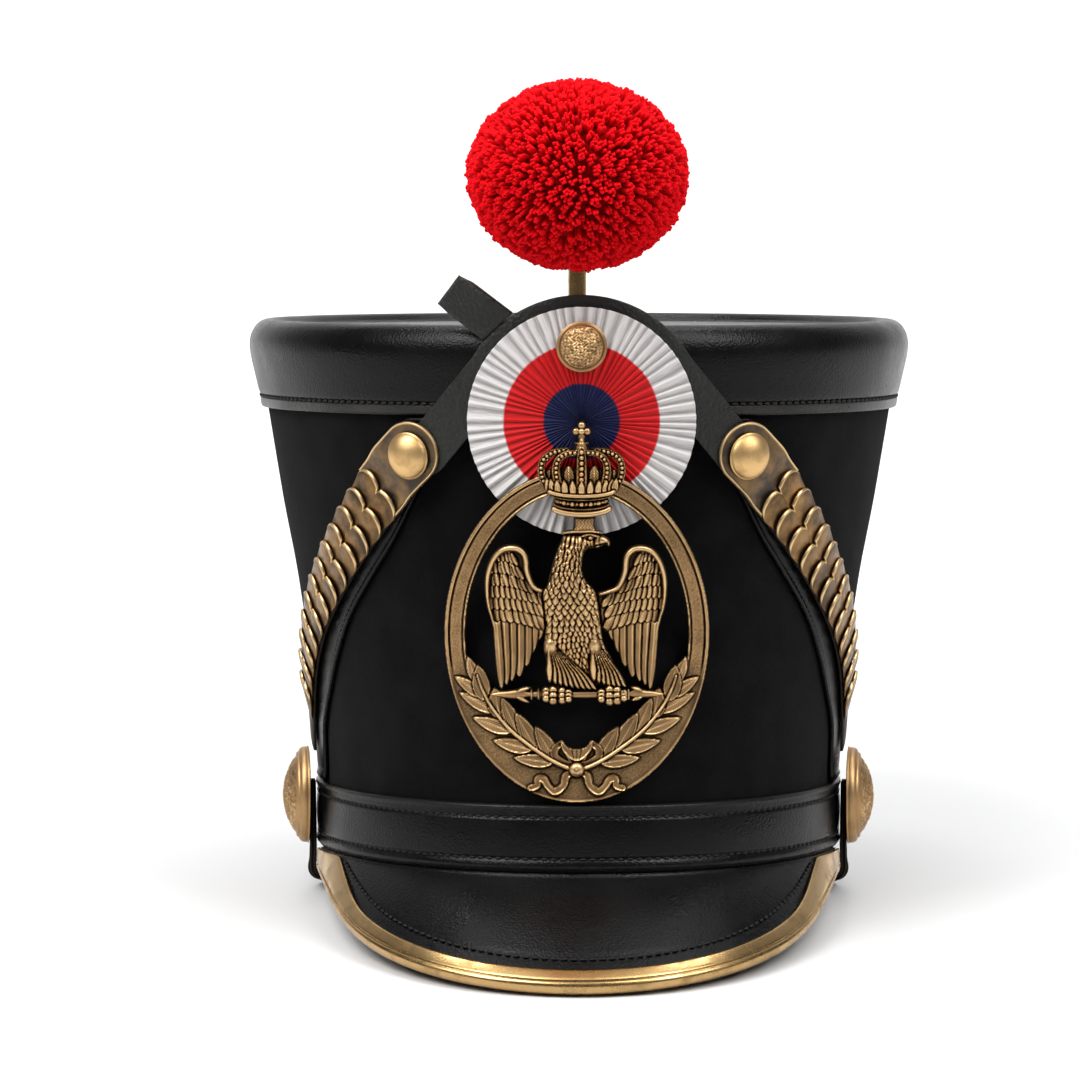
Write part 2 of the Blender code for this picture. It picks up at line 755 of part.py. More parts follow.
def cockade():
    count = COCKADE_PLEATS * 2
    angles = [2 * math.pi * index / count for index in range(count)]

    def offsets(x, height, share, index):
        fold = COCKADE_PLEAT_DEPTH if index % 2 else -COCKADE_PLEAT_DEPTH
        return COCKADE_SEAT + fold * share

    laid_disc(COCKADE_X, COCKADE_HEIGHT, angles, [COCKADE_RADIUS] * count, (0.12, 0.56, 1.0),
              offsets, COCKADE_WALL, "cockade", RIBBON)


def cockade_button():
    seat = COCKADE_SEAT + COCKADE_WALL + COCKADE_PLEAT_DEPTH + GAP
    centre = from_front(COCKADE_X, COCKADE_BUTTON_HEIGHT, seat)
    place = facing(centre, out_from(centre))
    turned(dome(COCKADE_BUTTON_RADIUS, 4.4), "cockade_button", BRASS, place)


# ---------------------------------------------------------------- pompom

def stem_foot():
    """Middle of the stem's foot, on the rim close behind the backing."""
    spot = from_front(0.0, TOP_SECTIONS[5][0] + GAP, BACKING_FACE - GAP - STEM_RADIUS)
    return Vector((POMPOM_X, spot.y, spot.z + 0.2))


def tube(points, radius, name, finish, sides=10):
    """A rod: a curve with a bevel and filled caps, made a mesh."""
    curve = bpy.data.curves.new("rod", "CURVE")
    curve.dimensions = "3D"
    curve.bevel_depth = radius * MM
    curve.bevel_resolution = (sides - 4) // 2
    curve.use_fill_caps = True
    spline = curve.splines.new("POLY")
    spline.points.add(len(points) - 1)
    for point, place in zip(spline.points, points):
        point.co = (*(Vector(place) * MM), 1)
    guide = bpy.data.objects.new("rod", curve)
    hat.objects.link(guide)
    graph = bpy.context.evaluated_depsgraph_get()
    mesh = bpy.data.meshes.new_from_object(guide.evaluated_get(graph))
    bpy.data.objects.remove(guide)
    work = bmesh.new()
    work.from_mesh(mesh)
    bmesh.ops.remove_doubles(work, verts=work.verts, dist=1e-6)
    work.to_mesh(mesh)
    work.free()
    return put(outward(mesh), name, finish)


def pompom():
    """Wool ball: locks drawn out of a round head, with a socket for the stem."""
    work = bmesh.new()
    bmesh.ops.create_icosphere(work, subdivisions=3, radius=1.0)
    bmesh.ops.subdivide_edges(work, edges=work.edges[:], cuts=1, use_grid_fill=True)
    foot = stem_foot()
    for vert in work.verts:
        reach = 1.0 if vert.co.length > 0.9999 else POMPOM_LOCK_FOOT
        way = vert.co.normalized() * reach
        vert.co = (way.x * POMPOM_WIDTH / 2, way.y * POMPOM_WIDTH / 2, way.z * POMPOM_TALL / 2)
        vert.co = (vert.co + Vector((foot.x, foot.y, POMPOM_HEIGHT))) * MM
    mesh = bpy.data.meshes.new("pompom")
    work.to_mesh(mesh)
    work.free()
    ball = put(outward(mesh), "pompom", WOOL)
    bottom = POMPOM_HEIGHT - POMPOM_TALL / 2
    drill = bpy.data.objects.new("stem_drill", bpy.data.meshes.new("stem_drill"))
    cut = bmesh.new()
    bmesh.ops.create_cone(cut, cap_ends=True, segments=12, radius1=(STEM_RADIUS + 0.45) * MM,
                          radius2=(STEM_RADIUS + 0.45) * MM, depth=(2 * STEM_SOCKET) * MM)
    cut.to_mesh(drill.data)
    cut.free()
    drill.location = Vector((foot.x, foot.y, bottom)) * MM
    drill.hide_render = True
    drill.display_type = "WIRE"
    cutters.objects.link(drill)
    hole = ball.modifiers.new("stem_hole", "BOOLEAN")
    hole.object = drill
    hole.solver = "EXACT"
    top = Vector((foot.x, foot.y, bottom + STEM_SOCKET - GAP))
    tube([foot, top], STEM_RADIUS, "pompom_stem", BRASS)


# ---------------------------------------------------------------- how the hat stands

def seat():
    """Angle at which the hat leans back, with the two points that it then rests on."""
    foot, along, normal, reach = visor_frame(0.0)
    lip = -TRIM_PLAY - VISOR_WALL - TRIM_PLAY - TRIM_WALL
    front = foot + along * (reach - 0.4) + normal * lip
    rear = on_hat(math.pi, 0.0, GAP + BAND_WALL - BAND_EDGE)
    return math.atan2(rear.z - front.z, rear.y - front.y), front, rear


def surface_height(y):
    """Height of the surface that the hat rests on, in the hat's own upright frame."""
    angle, front, _ = seat()
    return front.z + (y - front.y) * math.tan(angle)


def chin_strap():
    """Leather strap from rosette to rosette, which lies in one loop on the surface."""
    angle = math.radians(ROSETTE_ANGLE)
    lean, _, _ = seat()
    under = GAP + BAND_WALL + GAP + CHIN_STRAP_WALL / 2
    start = on_hat(angle, CHIN_STRAP_TOP, under)
    ground = Vector((0, -math.sin(lean), math.cos(lean)))
    right = [start, on_hat(angle, 8.0, under), on_hat(angle, 0.0, under)]
    right += [Vector((x, y, surface_height(y) + rise)) for x, y, rise in CHIN_STRAP_RUN]
    middle_rise = CHIN_STRAP_WALL / 2 / math.cos(lean) + 0.05
    right += [Vector((x, y, surface_height(y) + middle_rise)) for x, y in CHIN_STRAP_FLOOR]
    half = smooth_rows(right, 2)
    path = np.vstack([half, (half * (-1, 1, 1))[-2::-1]])
    rings = []
    for index, point in enumerate(path):
        before, after = path[max(index - 1, 0)], path[min(index + 1, len(path) - 1)]
        way = Vector(after - before).normalized()
        flat = ease((surface_height(point[1]) + 11.0 - point[2]) / 9.0)
        wide, deep = oval(0.0)
        out = Vector((point[0] / wide ** 2, point[1] / deep ** 2, 0)).normalized()
        side = out * (1 - flat) - ground * flat
        across = way.cross(side).normalized()
        side = across.cross(way)
        ring = []
        for wide, deep in ((-1, -1), (1, -1), (1, 1), (-1, 1)):
            shift = across * wide * CHIN_STRAP_WIDTH / 2 + side * deep * CHIN_STRAP_WALL / 2
            ring.append(Vector(point) + shift)
        rings.append(ring)
    return put(outward(loft(rings, caps=True)), "chin_strap", LEATHER)


# ---------------------------------------------------------------- front plate

def plate_point(x, height, rise):
    """Point on the front plate's relief: it follows the felt and climbs over the cockade."""
    climb = ease((height - PLATE_CLIMB[0]) / (PLATE_CLIMB[1] - PLATE_CLIMB[0]))
    return from_front(x, height, PLATE_SEAT + (PLATE_LIFT - PLATE_SEAT) * climb + rise)


def ring_inner(turn):
    """Distance from the plate's centre to the inner edge of its ring or of its solid field."""
    half_width, half_height = PLATE_HALF_WIDTH - PLATE_RING, PLATE_HALF_HEIGHT - PLATE_RING
    ring = 1 / math.hypot(math.cos(turn) / half_width, math.sin(turn) / half_height)
    below = math.degrees(math.asin(-math.sin(turn)))
    degrees, reaches = zip(*PLATE_FIELD)
    return min(ring, float(np.interp(below, degrees, reaches)))


def plate_ring():
    rings = []
    for step in range(PLATE_STEPS):
        turn = 2 * math.pi * (step + 0.5) / PLATE_STEPS
        far = 1 / math.hypot(math.cos(turn) / PLATE_HALF_WIDTH, math.sin(turn) / PLATE_HALF_HEIGHT)
        near = ring_inner(turn)
        section = ((far, 0.0), (far - 0.5, PLATE_WALL + 0.6), (far - 1.9, PLATE_WALL + 0.6),
                   (far - 2.4, PLATE_WALL), (near + 0.4, PLATE_WALL), (near, 0.0))
        rings.append([plate_point(PLATE_X + reach * math.cos(turn),
                                  PLATE_HEIGHT + reach * math.sin(turn), rise)
                      for reach, rise in section])
    return outward(loft(rings, closed_run=True))


def leaf(root, tip, back, rise):
    """Laurel leaf: a pointed oval with a raised middle rib."""
    along = Vector((tip[0] - root[0], tip[1] - root[1]))
    across = Vector((-along.y, along.x)).normalized() * along.length * 0.2
    rings = []
    for share, wide, high in ((0.0, 0.2, 0.5), (0.5, 1.0, 1.0), (1.0, 0.1, 0.4)):
        spot = Vector(root) + along * share
        left, right = spot - across * wide, spot + across * wide
        rings.append([plate_point(left.x, left.y, back),
                      plate_point(spot.x, spot.y, back + (rise - back) * high),
                      plate_point(right.x, right.y, back)])
    return outward(loft(rings, caps=True))


def ribbon(points, width, back, rise):
    """Narrow raised strip along a few points; also the laurel's stems and the bar."""
    path = smooth_rows(points, 2)
    rings = []
    for index, (x, height) in enumerate(path):
        before, after = path[max(index - 1, 0)], path[min(index + 1, len(path) - 1)]
        way = Vector((after[0] - before[0], after[1] - before[1])).normalized()
        across = Vector((-way.y, way.x)) * width / 2
        ring = []
        for wide, high in ((-1, back), (0, rise), (1, back)):
            ring.append(plate_point(x + across.x * wide, height + across.y * wide, high))
        rings.append(ring)
    return outward(loft(rings, caps=True))


def slab(rows, back, flip=1):
    """Relief form from rows of height, left, right and rise, rounded across."""
    rings = []
    for height, left, right, rise in rows:
        left, right = (left, right) if flip > 0 else (2 * PLATE_X - right, 2 * PLATE_X - left)
        ring = []
        for share, high in ((0.0, 0.0), (0.14, 0.75), (0.5, 1.0), (0.86, 0.75), (1.0, 0.0)):
            ring.append(plate_point(left + (right - left) * share, height, back + (rise - back) * high))
        rings.append(ring)
    return outward(loft(rings, caps=True))


def joined(pieces):
    """One mesh of several closed meshes."""
    work = bmesh.new()
    for mesh in pieces:
        work.from_mesh(mesh)
    mesh = bpy.data.meshes.new("joined")
    work.to_mesh(mesh)
    work.free()
    return mesh


def front_plate():
    """Cast brass plate: pierced ring, laurel, ribbon, bar, eagle and crown in one solid."""
    relief = [slab(EAGLE_BODY, 0.5), slab(EAGLE_TAIL, 0.8), slab(EAGLE_BEAK, 0.9)]
    for flip in (1, -1):
        relief.append(slab(EAGLE_WING, 0.3, flip))
        for root, tip in LAUREL_LEAVES:
            mirror = [(2 * PLATE_X - x if flip < 0 else x, height) for x, height in (root, tip)]
            relief.append(leaf(*mirror, 0.7, PLATE_WALL + 1.5))
        for points, width in ((LAUREL_STEM, 1.6), (BOW_LOOP, 2.2), (BOW_TAIL, 2.0)):
            line = [(2 * PLATE_X - x if flip < 0 else x, height) for x, height in points]
            relief.append(ribbon(line, width, 0.9, PLATE_WALL + 1.8))
    relief.append(ribbon(((-28.2, 56.2), (-10.0, 56.4), (8.0, 56.4), (26.6, 56.5)), 2.6, 0.6, 3.4))
    for x in THIGHS:
        rows = [(height, x + left, x + right, rise) for height, left, right, rise in THIGH]
        relief.append(slab(rows, 1.0))
    relief.append(slab(CROWN, 0.2))
    relief.append(slab(CROWN_CROSS, 0.6))
    knot = slab(((31.0, -1.6, 0.6, 2.4), (32.2, -2.7, 1.7, 3.8), (34.2, -2.7, 1.7, 3.8),
                 (35.4, -1.6, 0.6, 2.4)), 1.1)
    relief.append(knot)
    plate = put(plate_ring(), "front_plate", BRASS, rounded=False)
    tool = bpy.data.objects.new("plate_relief", joined(relief))
    tool.hide_render = True
    tool.display_type = "WIRE"
    cutters.objects.link(tool)
    union = plate.modifiers.new("relief", "BOOLEAN")
    union.operation = "UNION"
    union.object = tool
    union.use_self = True
    windows = bpy.data.objects.new("crown_windows", joined([window(*row) for row in CROWN_WINDOWS]))
    windows.hide_render = True
    windows.display_type = "WIRE"
    cutters.objects.link(windows)
    cut = plate.modifiers.new("windows", "BOOLEAN")
    cut.object = windows
    return plate


def window(x, height, width, tall):
    """Cutter for one opening between the crown's arches."""
    rings = []
    for rise in (-2.0, 8.0):
        ring = []
        for wide, high in ((-1, -0.8), (1, -0.8), (0.8, 0.6), (0, 1), (-0.8, 0.6)):
            ring.append(plate_point(x + wide * width / 2, height + high * tall / 2, rise))
        rings.append(ring)
    return outward(loft(rings, caps=True))


# ---------------------------------------------------------------- the whole hat

FELT = ((20, 20, 22), 0.95, 0.0)
LEATHER = ((24, 24, 26), 0.45, 0.0)
BRASS = ((186, 148, 82), 0.35, 1.0)
RIBBON = ((205, 40, 45), 0.7, 0.0)
WOOL = ((210, 20, 30), 0.95, 0.0)


def clear_scene():
    for thing in list(bpy.data.objects):
        bpy.data.objects.remove(thing)


def set_down():
    """Lean the hat back on its visor and rear edge, lowest point at z = 0, box centred."""
    lean, _, _ = seat()
    stand = bpy.data.objects.new("stand", None)
    hat.objects.link(stand)
    stand.rotation_euler = (-lean, 0, 0)
    for thing in list(hat.objects) + list(cutters.objects):
        if thing is not stand:
            thing.parent = stand
    bpy.context.view_layer.update()
    graph = bpy.context.evaluated_depsgraph_get()
    corners = []
    for thing in hat.objects:
        if thing.type == "MESH":
            shape = thing.evaluated_get(graph)
            place = np.array(shape.matrix_world)
            spots = np.empty(len(shape.data.vertices) * 3)
            shape.data.vertices.foreach_get("co", spots)
            spots = spots.reshape(-1, 3) @ place[:3, :3].T + place[:3, 3]
            corners += [spots.min(axis=0), spots.max(axis=0)]
    low, high = np.min(corners, axis=0), np.max(corners, axis=0)
    stand.location = (-(low[0] + high[0]) / 2, -(low[1] + high[1]) / 2, -low[2])
    bpy.context.view_layer.update()
    print("lean", round(math.degrees(lean), 3), "shift", tuple(round(v * 1000, 3) for v in stand.location))


def collection(name):
    made = bpy.data.collections.new(name)
    bpy.context.scene.collection.children.link(made)
    return made


clear_scene()
hat = collection("shako_hat")
cutters = collection("cutters")
felt_body()
top_leather()
head_band()
visor()
visor_trim()
cockade_backing()
strap_loop()
cockade()
cockade_button()
pompom()
front_plate()
chin_strap()
for hand in (-1, 1):
    chevron(hand)
    scale_lining(hand)
    scales(hand)
    end_plate(hand)
    strap_button(hand)
    rosette(hand)
set_down()
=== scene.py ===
# %% [markdown]
# # A felt shako with brass fittings
#
# This script dresses the plain solids of a military shako. The hat is a stiff cone of black
# felt with a leather top, band and visor. It carries a brass plate, brass scales, a pleated
# ribbon cockade and a wool pompom. Each cell below makes one piece or one finish.
#
# All shapes are worked out in the hat's own upright frame, in millimetres: x to the right as
# seen from the front, -y to the front, and z up from the lower edge of the head band. A last
# step leans the points back as the hat rests, and turns them into metres.

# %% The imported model
import math

import bpy
import numpy as np
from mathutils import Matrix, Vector


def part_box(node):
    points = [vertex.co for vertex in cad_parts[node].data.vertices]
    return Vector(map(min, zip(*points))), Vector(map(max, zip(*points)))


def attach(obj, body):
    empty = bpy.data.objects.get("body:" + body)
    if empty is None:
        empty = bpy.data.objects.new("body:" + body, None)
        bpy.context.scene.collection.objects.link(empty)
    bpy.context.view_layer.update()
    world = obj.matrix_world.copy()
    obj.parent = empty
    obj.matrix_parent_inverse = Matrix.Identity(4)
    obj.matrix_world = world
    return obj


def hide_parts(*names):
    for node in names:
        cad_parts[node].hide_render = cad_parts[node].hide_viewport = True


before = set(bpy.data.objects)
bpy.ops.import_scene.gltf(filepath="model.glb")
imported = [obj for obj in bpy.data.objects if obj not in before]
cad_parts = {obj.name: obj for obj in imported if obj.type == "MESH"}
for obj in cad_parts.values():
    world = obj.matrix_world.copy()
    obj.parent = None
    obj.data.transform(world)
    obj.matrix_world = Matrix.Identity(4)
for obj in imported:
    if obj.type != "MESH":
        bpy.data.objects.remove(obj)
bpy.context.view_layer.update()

# %% [markdown]
# ## The hat's oval
#
# A head is longer than it is wide, so every level of the hat is an ellipse. One short table
# gives its half width and half depth at eight heights. In between, the numbers are joined by
# straight lines and then smoothed, so that light runs over the felt without a crease. Every
# other piece asks the same function for its place, so nothing floats or sinks in.

# %% Sizes of the felt, and the point at an angle and a height
MM = 0.001
FELT_SECTIONS = (
    # height, half_width, half_depth
    (0.3, 83.6, 101.6), (21.5, 83.8, 101.8), (50, 86.2, 103.6), (91, 92.4, 107.6), (112, 96.6, 110.4),
    (138, 100.9, 113.6), (163, 104.9, 117), (167, 105.2, 117.3),
)
FELT_WALL = 2.5
LEVELS = np.arange(-30.0, 200.0, 1.0)
BLUR = np.hanning(21) / np.hanning(21).sum()


def blurred_column(column):
    """The felt table's column at every level, averaged over a bell of 20 mm."""
    heights, *columns = np.array(FELT_SECTIONS).T
    slope = (columns[column][1] - columns[column][0]) / (heights[1] - heights[0])
    plain = np.interp(LEVELS, heights, columns[column])
    plain += slope * np.minimum(LEVELS - heights[0], 0)
    padded = np.pad(plain, 10, mode="edge")
    return np.convolve(padded, BLUR, mode="valid")


HALF_WIDTHS = blurred_column(0)
HALF_DEPTHS = blurred_column(1)


def oval(height):
    """Half width and half depth of the felt at each height."""
    return np.interp(height, LEVELS, HALF_WIDTHS), np.interp(height, LEVELS, HALF_DEPTHS)


def hat(angle, height, offset=0.0):
    """Ellipse point at an angle from the front, pushed out along the ellipse's own normal."""
    angle, height, offset = np.broadcast_arrays(angle, height, offset)
    wide, deep = oval(height)
    across, along = np.sin(angle) / wide, -np.cos(angle) / deep
    size = np.hypot(across, along)
    x = wide * np.sin(angle) + across / size * offset
    y = -deep * np.cos(angle) + along / size * offset
    return np.stack([x, y, height + 0.0 * x], axis=-1)


def front(x, height, offset=0.0):
    """Point on the front of the hat that has this x, found by four corrections of the angle."""
    x, height, offset = np.broadcast_arrays(x, height, offset)
    wide, _ = oval(height)
    angle = np.arcsin(np.clip(x / wide, -1, 1))
    for _ in range(4):
        stand = hat(angle, height, offset)[..., 0] - wide * np.sin(angle)
        angle = np.arcsin(np.clip((x - stand) / wide, -1, 1))
    return hat(angle, height, offset)


def bearing(points):
    """Angle from the front at which the hat's side passes nearest to each point."""
    wide, deep = oval(points[..., 2])
    return np.arctan2(points[..., 0] / wide, -points[..., 1] / deep)


def dropped(points, offset):
    """Points moved along the level onto the hat's side, and out from it by the offset."""
    return hat(bearing(points), points[..., 2], offset)


def full_turn(count):
    """Angles of a circle in equal steps."""
    return 2 * math.pi * np.arange(count) / count


print("felt at the band", [round(float(v), 1) for v in oval(10.0)], "mm half width and depth")

# %% [markdown]
# ## How the hat stands
#
# Put on a table, a shako tips back a little: the lip of the visor touches in front and the
# edge of the head band behind. The lean follows from the visor's reach and slope. The shift
# is measured: the head band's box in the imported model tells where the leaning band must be.

# %% Lean and shift
GAP = 0.3
BAND_HEIGHT = 21.5
BAND_WALL = 2.0
BAND_EDGE = 0.9
VISOR_SPAN = math.radians(78.5)
VISOR_REACH = 50.0
VISOR_END_REACH = 8.0
VISOR_SLOPE = 38.7
VISOR_END_SLOPE = 86.0
VISOR_WALL = 2.2
TRIM_WALL = 0.8
TRIM_PLAY = 0.55
LIP_IN = 0.4                   # the lowest point of the brass is this far in from the reach
CAD_SIDES = 36


def visor_frame(turn):
    """Foot, outward direction, normal and reach of the visor at turns from -1 to 1."""
    turn = np.asarray(turn, dtype=float)
    angle = VISOR_SPAN * turn
    foot = hat(angle, 0.0, GAP + BAND_WALL)
    flat = foot - hat(angle, 0.0)
    flat /= np.linalg.norm(flat, axis=-1, keepdims=True)
    slope = np.radians(VISOR_SLOPE + (VISOR_END_SLOPE - VISOR_SLOPE) * np.abs(turn) ** 2.8)
    down = np.array([0.0, 0.0, -1.0])
    along = flat * np.cos(slope)[..., None] + down * np.sin(slope)[..., None]
    normal = flat * np.sin(slope)[..., None] - down * np.cos(slope)[..., None]
    narrow = np.maximum(np.cos(turn * math.pi / 2), 0.0) ** 1.9
    reach = VISOR_END_REACH + (VISOR_REACH - VISOR_END_REACH) * narrow
    return foot, along, normal, reach


def visor_lip():
    """Lowest point of the visor's brass edge."""
    foot, along, normal, reach = visor_frame(0.0)
    return foot + along * (reach - LIP_IN) - normal * (2 * TRIM_PLAY + VISOR_WALL + TRIM_WALL)


def resting_lean():
    """Angle of the line from the visor's lip to the rear edge of the band."""
    lip = visor_lip()
    rear = hat(math.pi, 0.0, GAP + BAND_WALL - BAND_EDGE)
    return math.atan2(rear[2] - lip[2], rear[1] - lip[1])


LEAN = resting_lean()
LEAN_BACK = np.array([
    [1.0, 0.0, 0.0],
    [0.0, math.cos(LEAN), math.sin(LEAN)],
    [0.0, -math.sin(LEAN), math.cos(LEAN)],
])


def band_shift():
    """Metres from the leaning head band, worked out here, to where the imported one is."""
    turns = full_turn(CAD_SIDES)
    heights = (0.0, BAND_EDGE, BAND_HEIGHT - BAND_EDGE, BAND_HEIGHT)
    rings = [hat(turns, height, offset) for height in heights
             for offset in (GAP, GAP + BAND_WALL - BAND_EDGE * (height in (0.0, BAND_HEIGHT)))]
    leaning = np.concatenate(rings) @ LEAN_BACK.T * MM
    low, high = (np.array(corner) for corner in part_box("head_band"))
    return (low + high - leaning.min(axis=0) - leaning.max(axis=0)) / 2


SHIFT = band_shift()


def stand(points):
    """Upright millimetres to the resting hat's metres."""
    return np.asarray(points) @ LEAN_BACK.T * MM + SHIFT


print("lean", round(math.degrees(LEAN), 2), "degrees, shift", [round(float(v) * 1000, 2) for v in SHIFT])

# %% [markdown]
# ## From a grid of points to a piece
#
# Almost every piece here is a grid: rows of points, and columns of points. Neighbours on the
# grid make four-sided faces. Where a piece closes on itself, the last row or column joins the
# first, and an open end gets a cap or a single pole point. If the volume comes out negative,
# the faces point inwards, so they are all turned round.

# %% The grid helper
pieces = {}


def grid_faces(rows, columns, wrap_rows, wrap_columns):
    """Four point numbers for each face of a grid, row by row."""
    index = np.arange(rows * columns).reshape(rows, columns)
    if wrap_rows:
        index = np.vstack([index, index[:1]])
    if wrap_columns:
        index = np.hstack([index, index[:, :1]])
    return np.stack([index[:-1, :-1], index[:-1, 1:], index[1:, 1:], index[1:, :-1]], -1).reshape(-1, 4)


def inside_out(points, quads):
    """Whether a grid's four-sided faces enclose a negative volume, seen from its middle."""
    a, b, c, d = (points[quads[:, corner]] - points.mean(axis=0) for corner in range(4))
    return float(np.einsum("ij,ij->", a, np.cross(b, c) + np.cross(c, d))) < 0


def piece(name, shape, finish, replaces=(), attributes=None, flat_angle=None):
    """A mesh object at the origin from upright points and faces, riding on the one body."""
    points, faces = shape
    mesh = bpy.data.meshes.new(name)
    mesh.from_pydata(stand(points).tolist(), [], faces)
    for label, values in (attributes or {}).items():
        mesh.attributes.new(label, "FLOAT", "POINT").data.foreach_set("value", np.ravel(values))
    mesh.shade_smooth()
    if flat_angle:
        mesh.set_sharp_from_angle(angle=math.radians(flat_angle))
    mesh.materials.append(finish)
    made = bpy.data.objects.new(name, mesh)
    bpy.context.scene.collection.objects.link(made)
    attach(made, "root")
    if replaces:
        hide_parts(*replaces)
    pieces[name] = len(mesh.polygons)


def skin(points, wrap_rows=False, poles=()):
    """Points and faces of a grid whose columns close up; caps or poles close its open ends."""
    rows, columns = points.shape[:2]
    spots = points.reshape(-1, 3)
    quads = grid_faces(rows, columns, wrap_rows, True)
    faces = quads.tolist()
    ends = np.arange(columns)[::-1], np.arange(columns) + (rows - 1) * columns
    if not wrap_rows and not poles:
        faces += [ring.tolist() for ring in ends]
    for pole, ring in zip(poles, ends):
        faces += [[int(a), int(b), len(spots)] for a, b in zip(ring, np.roll(ring, -1))]
        spots = np.vstack([spots, pole])
    if inside_out(spots, quads):
        faces = [corners[::-1] for corners in faces]
    return spots, faces


def joined(parts):
    """One list of points and faces from several."""
    points, faces, start = [], [], 0
    for spots, corners in parts:
        points.append(spots)
        faces += [[corner + start for corner in face] for face in corners]
        start += len(spots)
    return np.concatenate(points), faces


def run_along(path):
    """Length of a path up to each of its points."""
    return np.concatenate([[0.0], np.cumsum(np.linalg.norm(np.diff(path, axis=0), axis=1))])


def at_runs(places, runs, rows):
    """Rows of numbers between the given ones, at any runs along a path."""
    return np.stack([np.interp(places, runs, column) for column in rows.T], -1)


def turned(radius, height, angle):
    """Points at a radius and a height, at angles round an upright axis."""
    return np.stack(np.broadcast_arrays(radius * np.cos(angle), radius * np.sin(angle), height), -1)


def unit(vectors):
    """Vectors of length one."""
    return vectors / np.maximum(np.linalg.norm(vectors, axis=-1, keepdims=True), 1e-9)


def smooth_rows(rows, parts):
    """Rows of numbers with parts - 1 new rows between each two, on a smooth curve."""
    rows = np.array(rows, dtype=float)
    padded = np.vstack([2 * rows[0] - rows[1], rows, 2 * rows[-1] - rows[-2]])
    before, start, end, after = (padded[shift:len(rows) - 1 + shift, None] for shift in range(4))
    t = (np.arange(parts) / parts)[None, :, None]
    curve = 0.5 * (2 * start + (end - before) * t + (2 * before - 5 * start + 4 * end - after) * t ** 2
                   + (3 * start - 3 * end + after - before) * t ** 3)
    return np.vstack([curve.reshape(-1, rows.shape[1]), rows[-1]])


def ease(value):
    """0 below 0, 1 above 1, and smooth between."""
    value = np.clip(value, 0.0, 1.0)
    return value * value * (3 - 2 * value)


# %% [markdown]
# ## Stitches
#
# Saddlers' thread shows as short lozenges that dip into the leather at both ends. One stitch is
# a small spindle, and a seam is hundreds of spindles, so all of them go into one mesh. The
# seam's own direction and the leather's outward direction turn each spindle into its place.

# %% A seam of stitches
STITCH_SIDES = 6
STITCH_RINGS = 5


def stitches(path, outward, pitch=3.0, length=2.1, radius=0.5):
    """Spindles set at equal steps along a path: radius times a half sine over the length."""
    run = run_along(path)
    places = np.arange(pitch / 2, run[-1], pitch)
    centre = at_runs(places, run, path)
    out = unit(at_runs(places, run, outward))
    way = unit(at_runs(places + 0.5, run, path) - centre + 1e-6)
    side = np.cross(out, way)
    along = np.linspace(-1, 1, STITCH_RINGS)
    turn = full_turn(STITCH_SIDES)
    girth = radius * np.sqrt(np.maximum(1 - along ** 2, 0.04))[:, None]
    local = np.stack([np.broadcast_to(along[:, None] * length / 2, (STITCH_RINGS, STITCH_SIDES)),
                      girth * np.cos(turn), girth * np.sin(turn) * 0.8], -1).reshape(-1, 3)
    basis = np.stack([way, side, out], axis=1)
    points = np.einsum("nk,mkj->mnj", local, basis) + centre[:, None, :]
    quads = grid_faces(STITCH_RINGS, STITCH_SIDES, False, True)
    if inside_out(points[0], quads):
        quads = quads[:, ::-1]
    starts = len(local) * np.arange(len(places))[:, None, None]
    return points.reshape(-1, 3), (quads[None] + starts).reshape(-1, 4).tolist()


def hat_seam(angle, height, offset, **thread):
    """A seam on the hat's side, at this height and this far out from the felt."""
    line = hat(angle, height, offset)
    return stitches(line, line - hat(angle, height), **thread)


print("a stitch has", STITCH_SIDES * (STITCH_RINGS - 1), "faces")

# %% [markdown]
# ## Finishes
#
# Each finish starts from the real material. Colours are written as sRGB hex, as a colour
# picker shows them, and one function turns them linear. Pattern sizes are real millimetres:
# a texture scale is one over the size in metres, because Object coordinates are metres.

# %% Colour, nodes and a new finish
def linear(hex_colour):
    """sRGB hex to the linear colour that a shader works in."""
    channels = [int(hex_colour[start:start + 2], 16) / 255 for start in (1, 3, 5)]
    return (*[c / 12.92 if c <= 0.04045 else ((c + 0.055) / 1.055) ** 2.4 for c in channels], 1.0)


def per_mm(size):
    """Texture scale for a feature of this many millimetres."""
    return 1.0 / (size * MM)


def feed(made, inputs):
    """Sets a node's inputs; each is a number, a colour or another node's output."""
    for label, value in inputs.items():
        if isinstance(value, bpy.types.NodeSocket):
            made.id_data.links.new(value, made.inputs[label])
        else:
            made.inputs[label].default_value = value


def node(tree, kind, output, inputs, stops=(), **settings):
    """One output of a new node; a ramp's stops are pairs of position and sRGB hex."""
    made = tree.nodes.new("ShaderNode" + kind)
    for label, value in settings.items():
        setattr(made, label, value)
    feed(made, inputs)
    if stops:
        ends = zip(made.color_ramp.elements, (stops[0], stops[-1]))
        for element, (position, colour) in ends:
            element.position, element.color = position, linear(colour)
        for position, colour in stops[1:-1]:
            made.color_ramp.elements.new(position).color = linear(colour)
    return made.outputs[output]


def finish_named(name, colour, roughness, **sockets):
    """A new material: itself, its tree, its shader and its Object coordinates."""
    made = bpy.data.materials.new(name)
    made.use_nodes = True
    shader = made.node_tree.nodes["Principled BSDF"]
    feed(shader, {"Base Color": linear(colour), "Roughness": roughness})
    feed(shader, {label.replace("_", " "): value for label, value in sockets.items()})
    return made, made.node_tree, shader, node(made.node_tree, "TexCoord", "Object", {})


# %% [markdown]
# ### Wool felt
#
# Felt is wool that was wetted, rubbed and pressed until its fibres locked. It has no weave.
# It drinks light, so it is the darkest surface here, with a faint cloudy nap and a soft
# sheen where the light grazes the fibre ends.

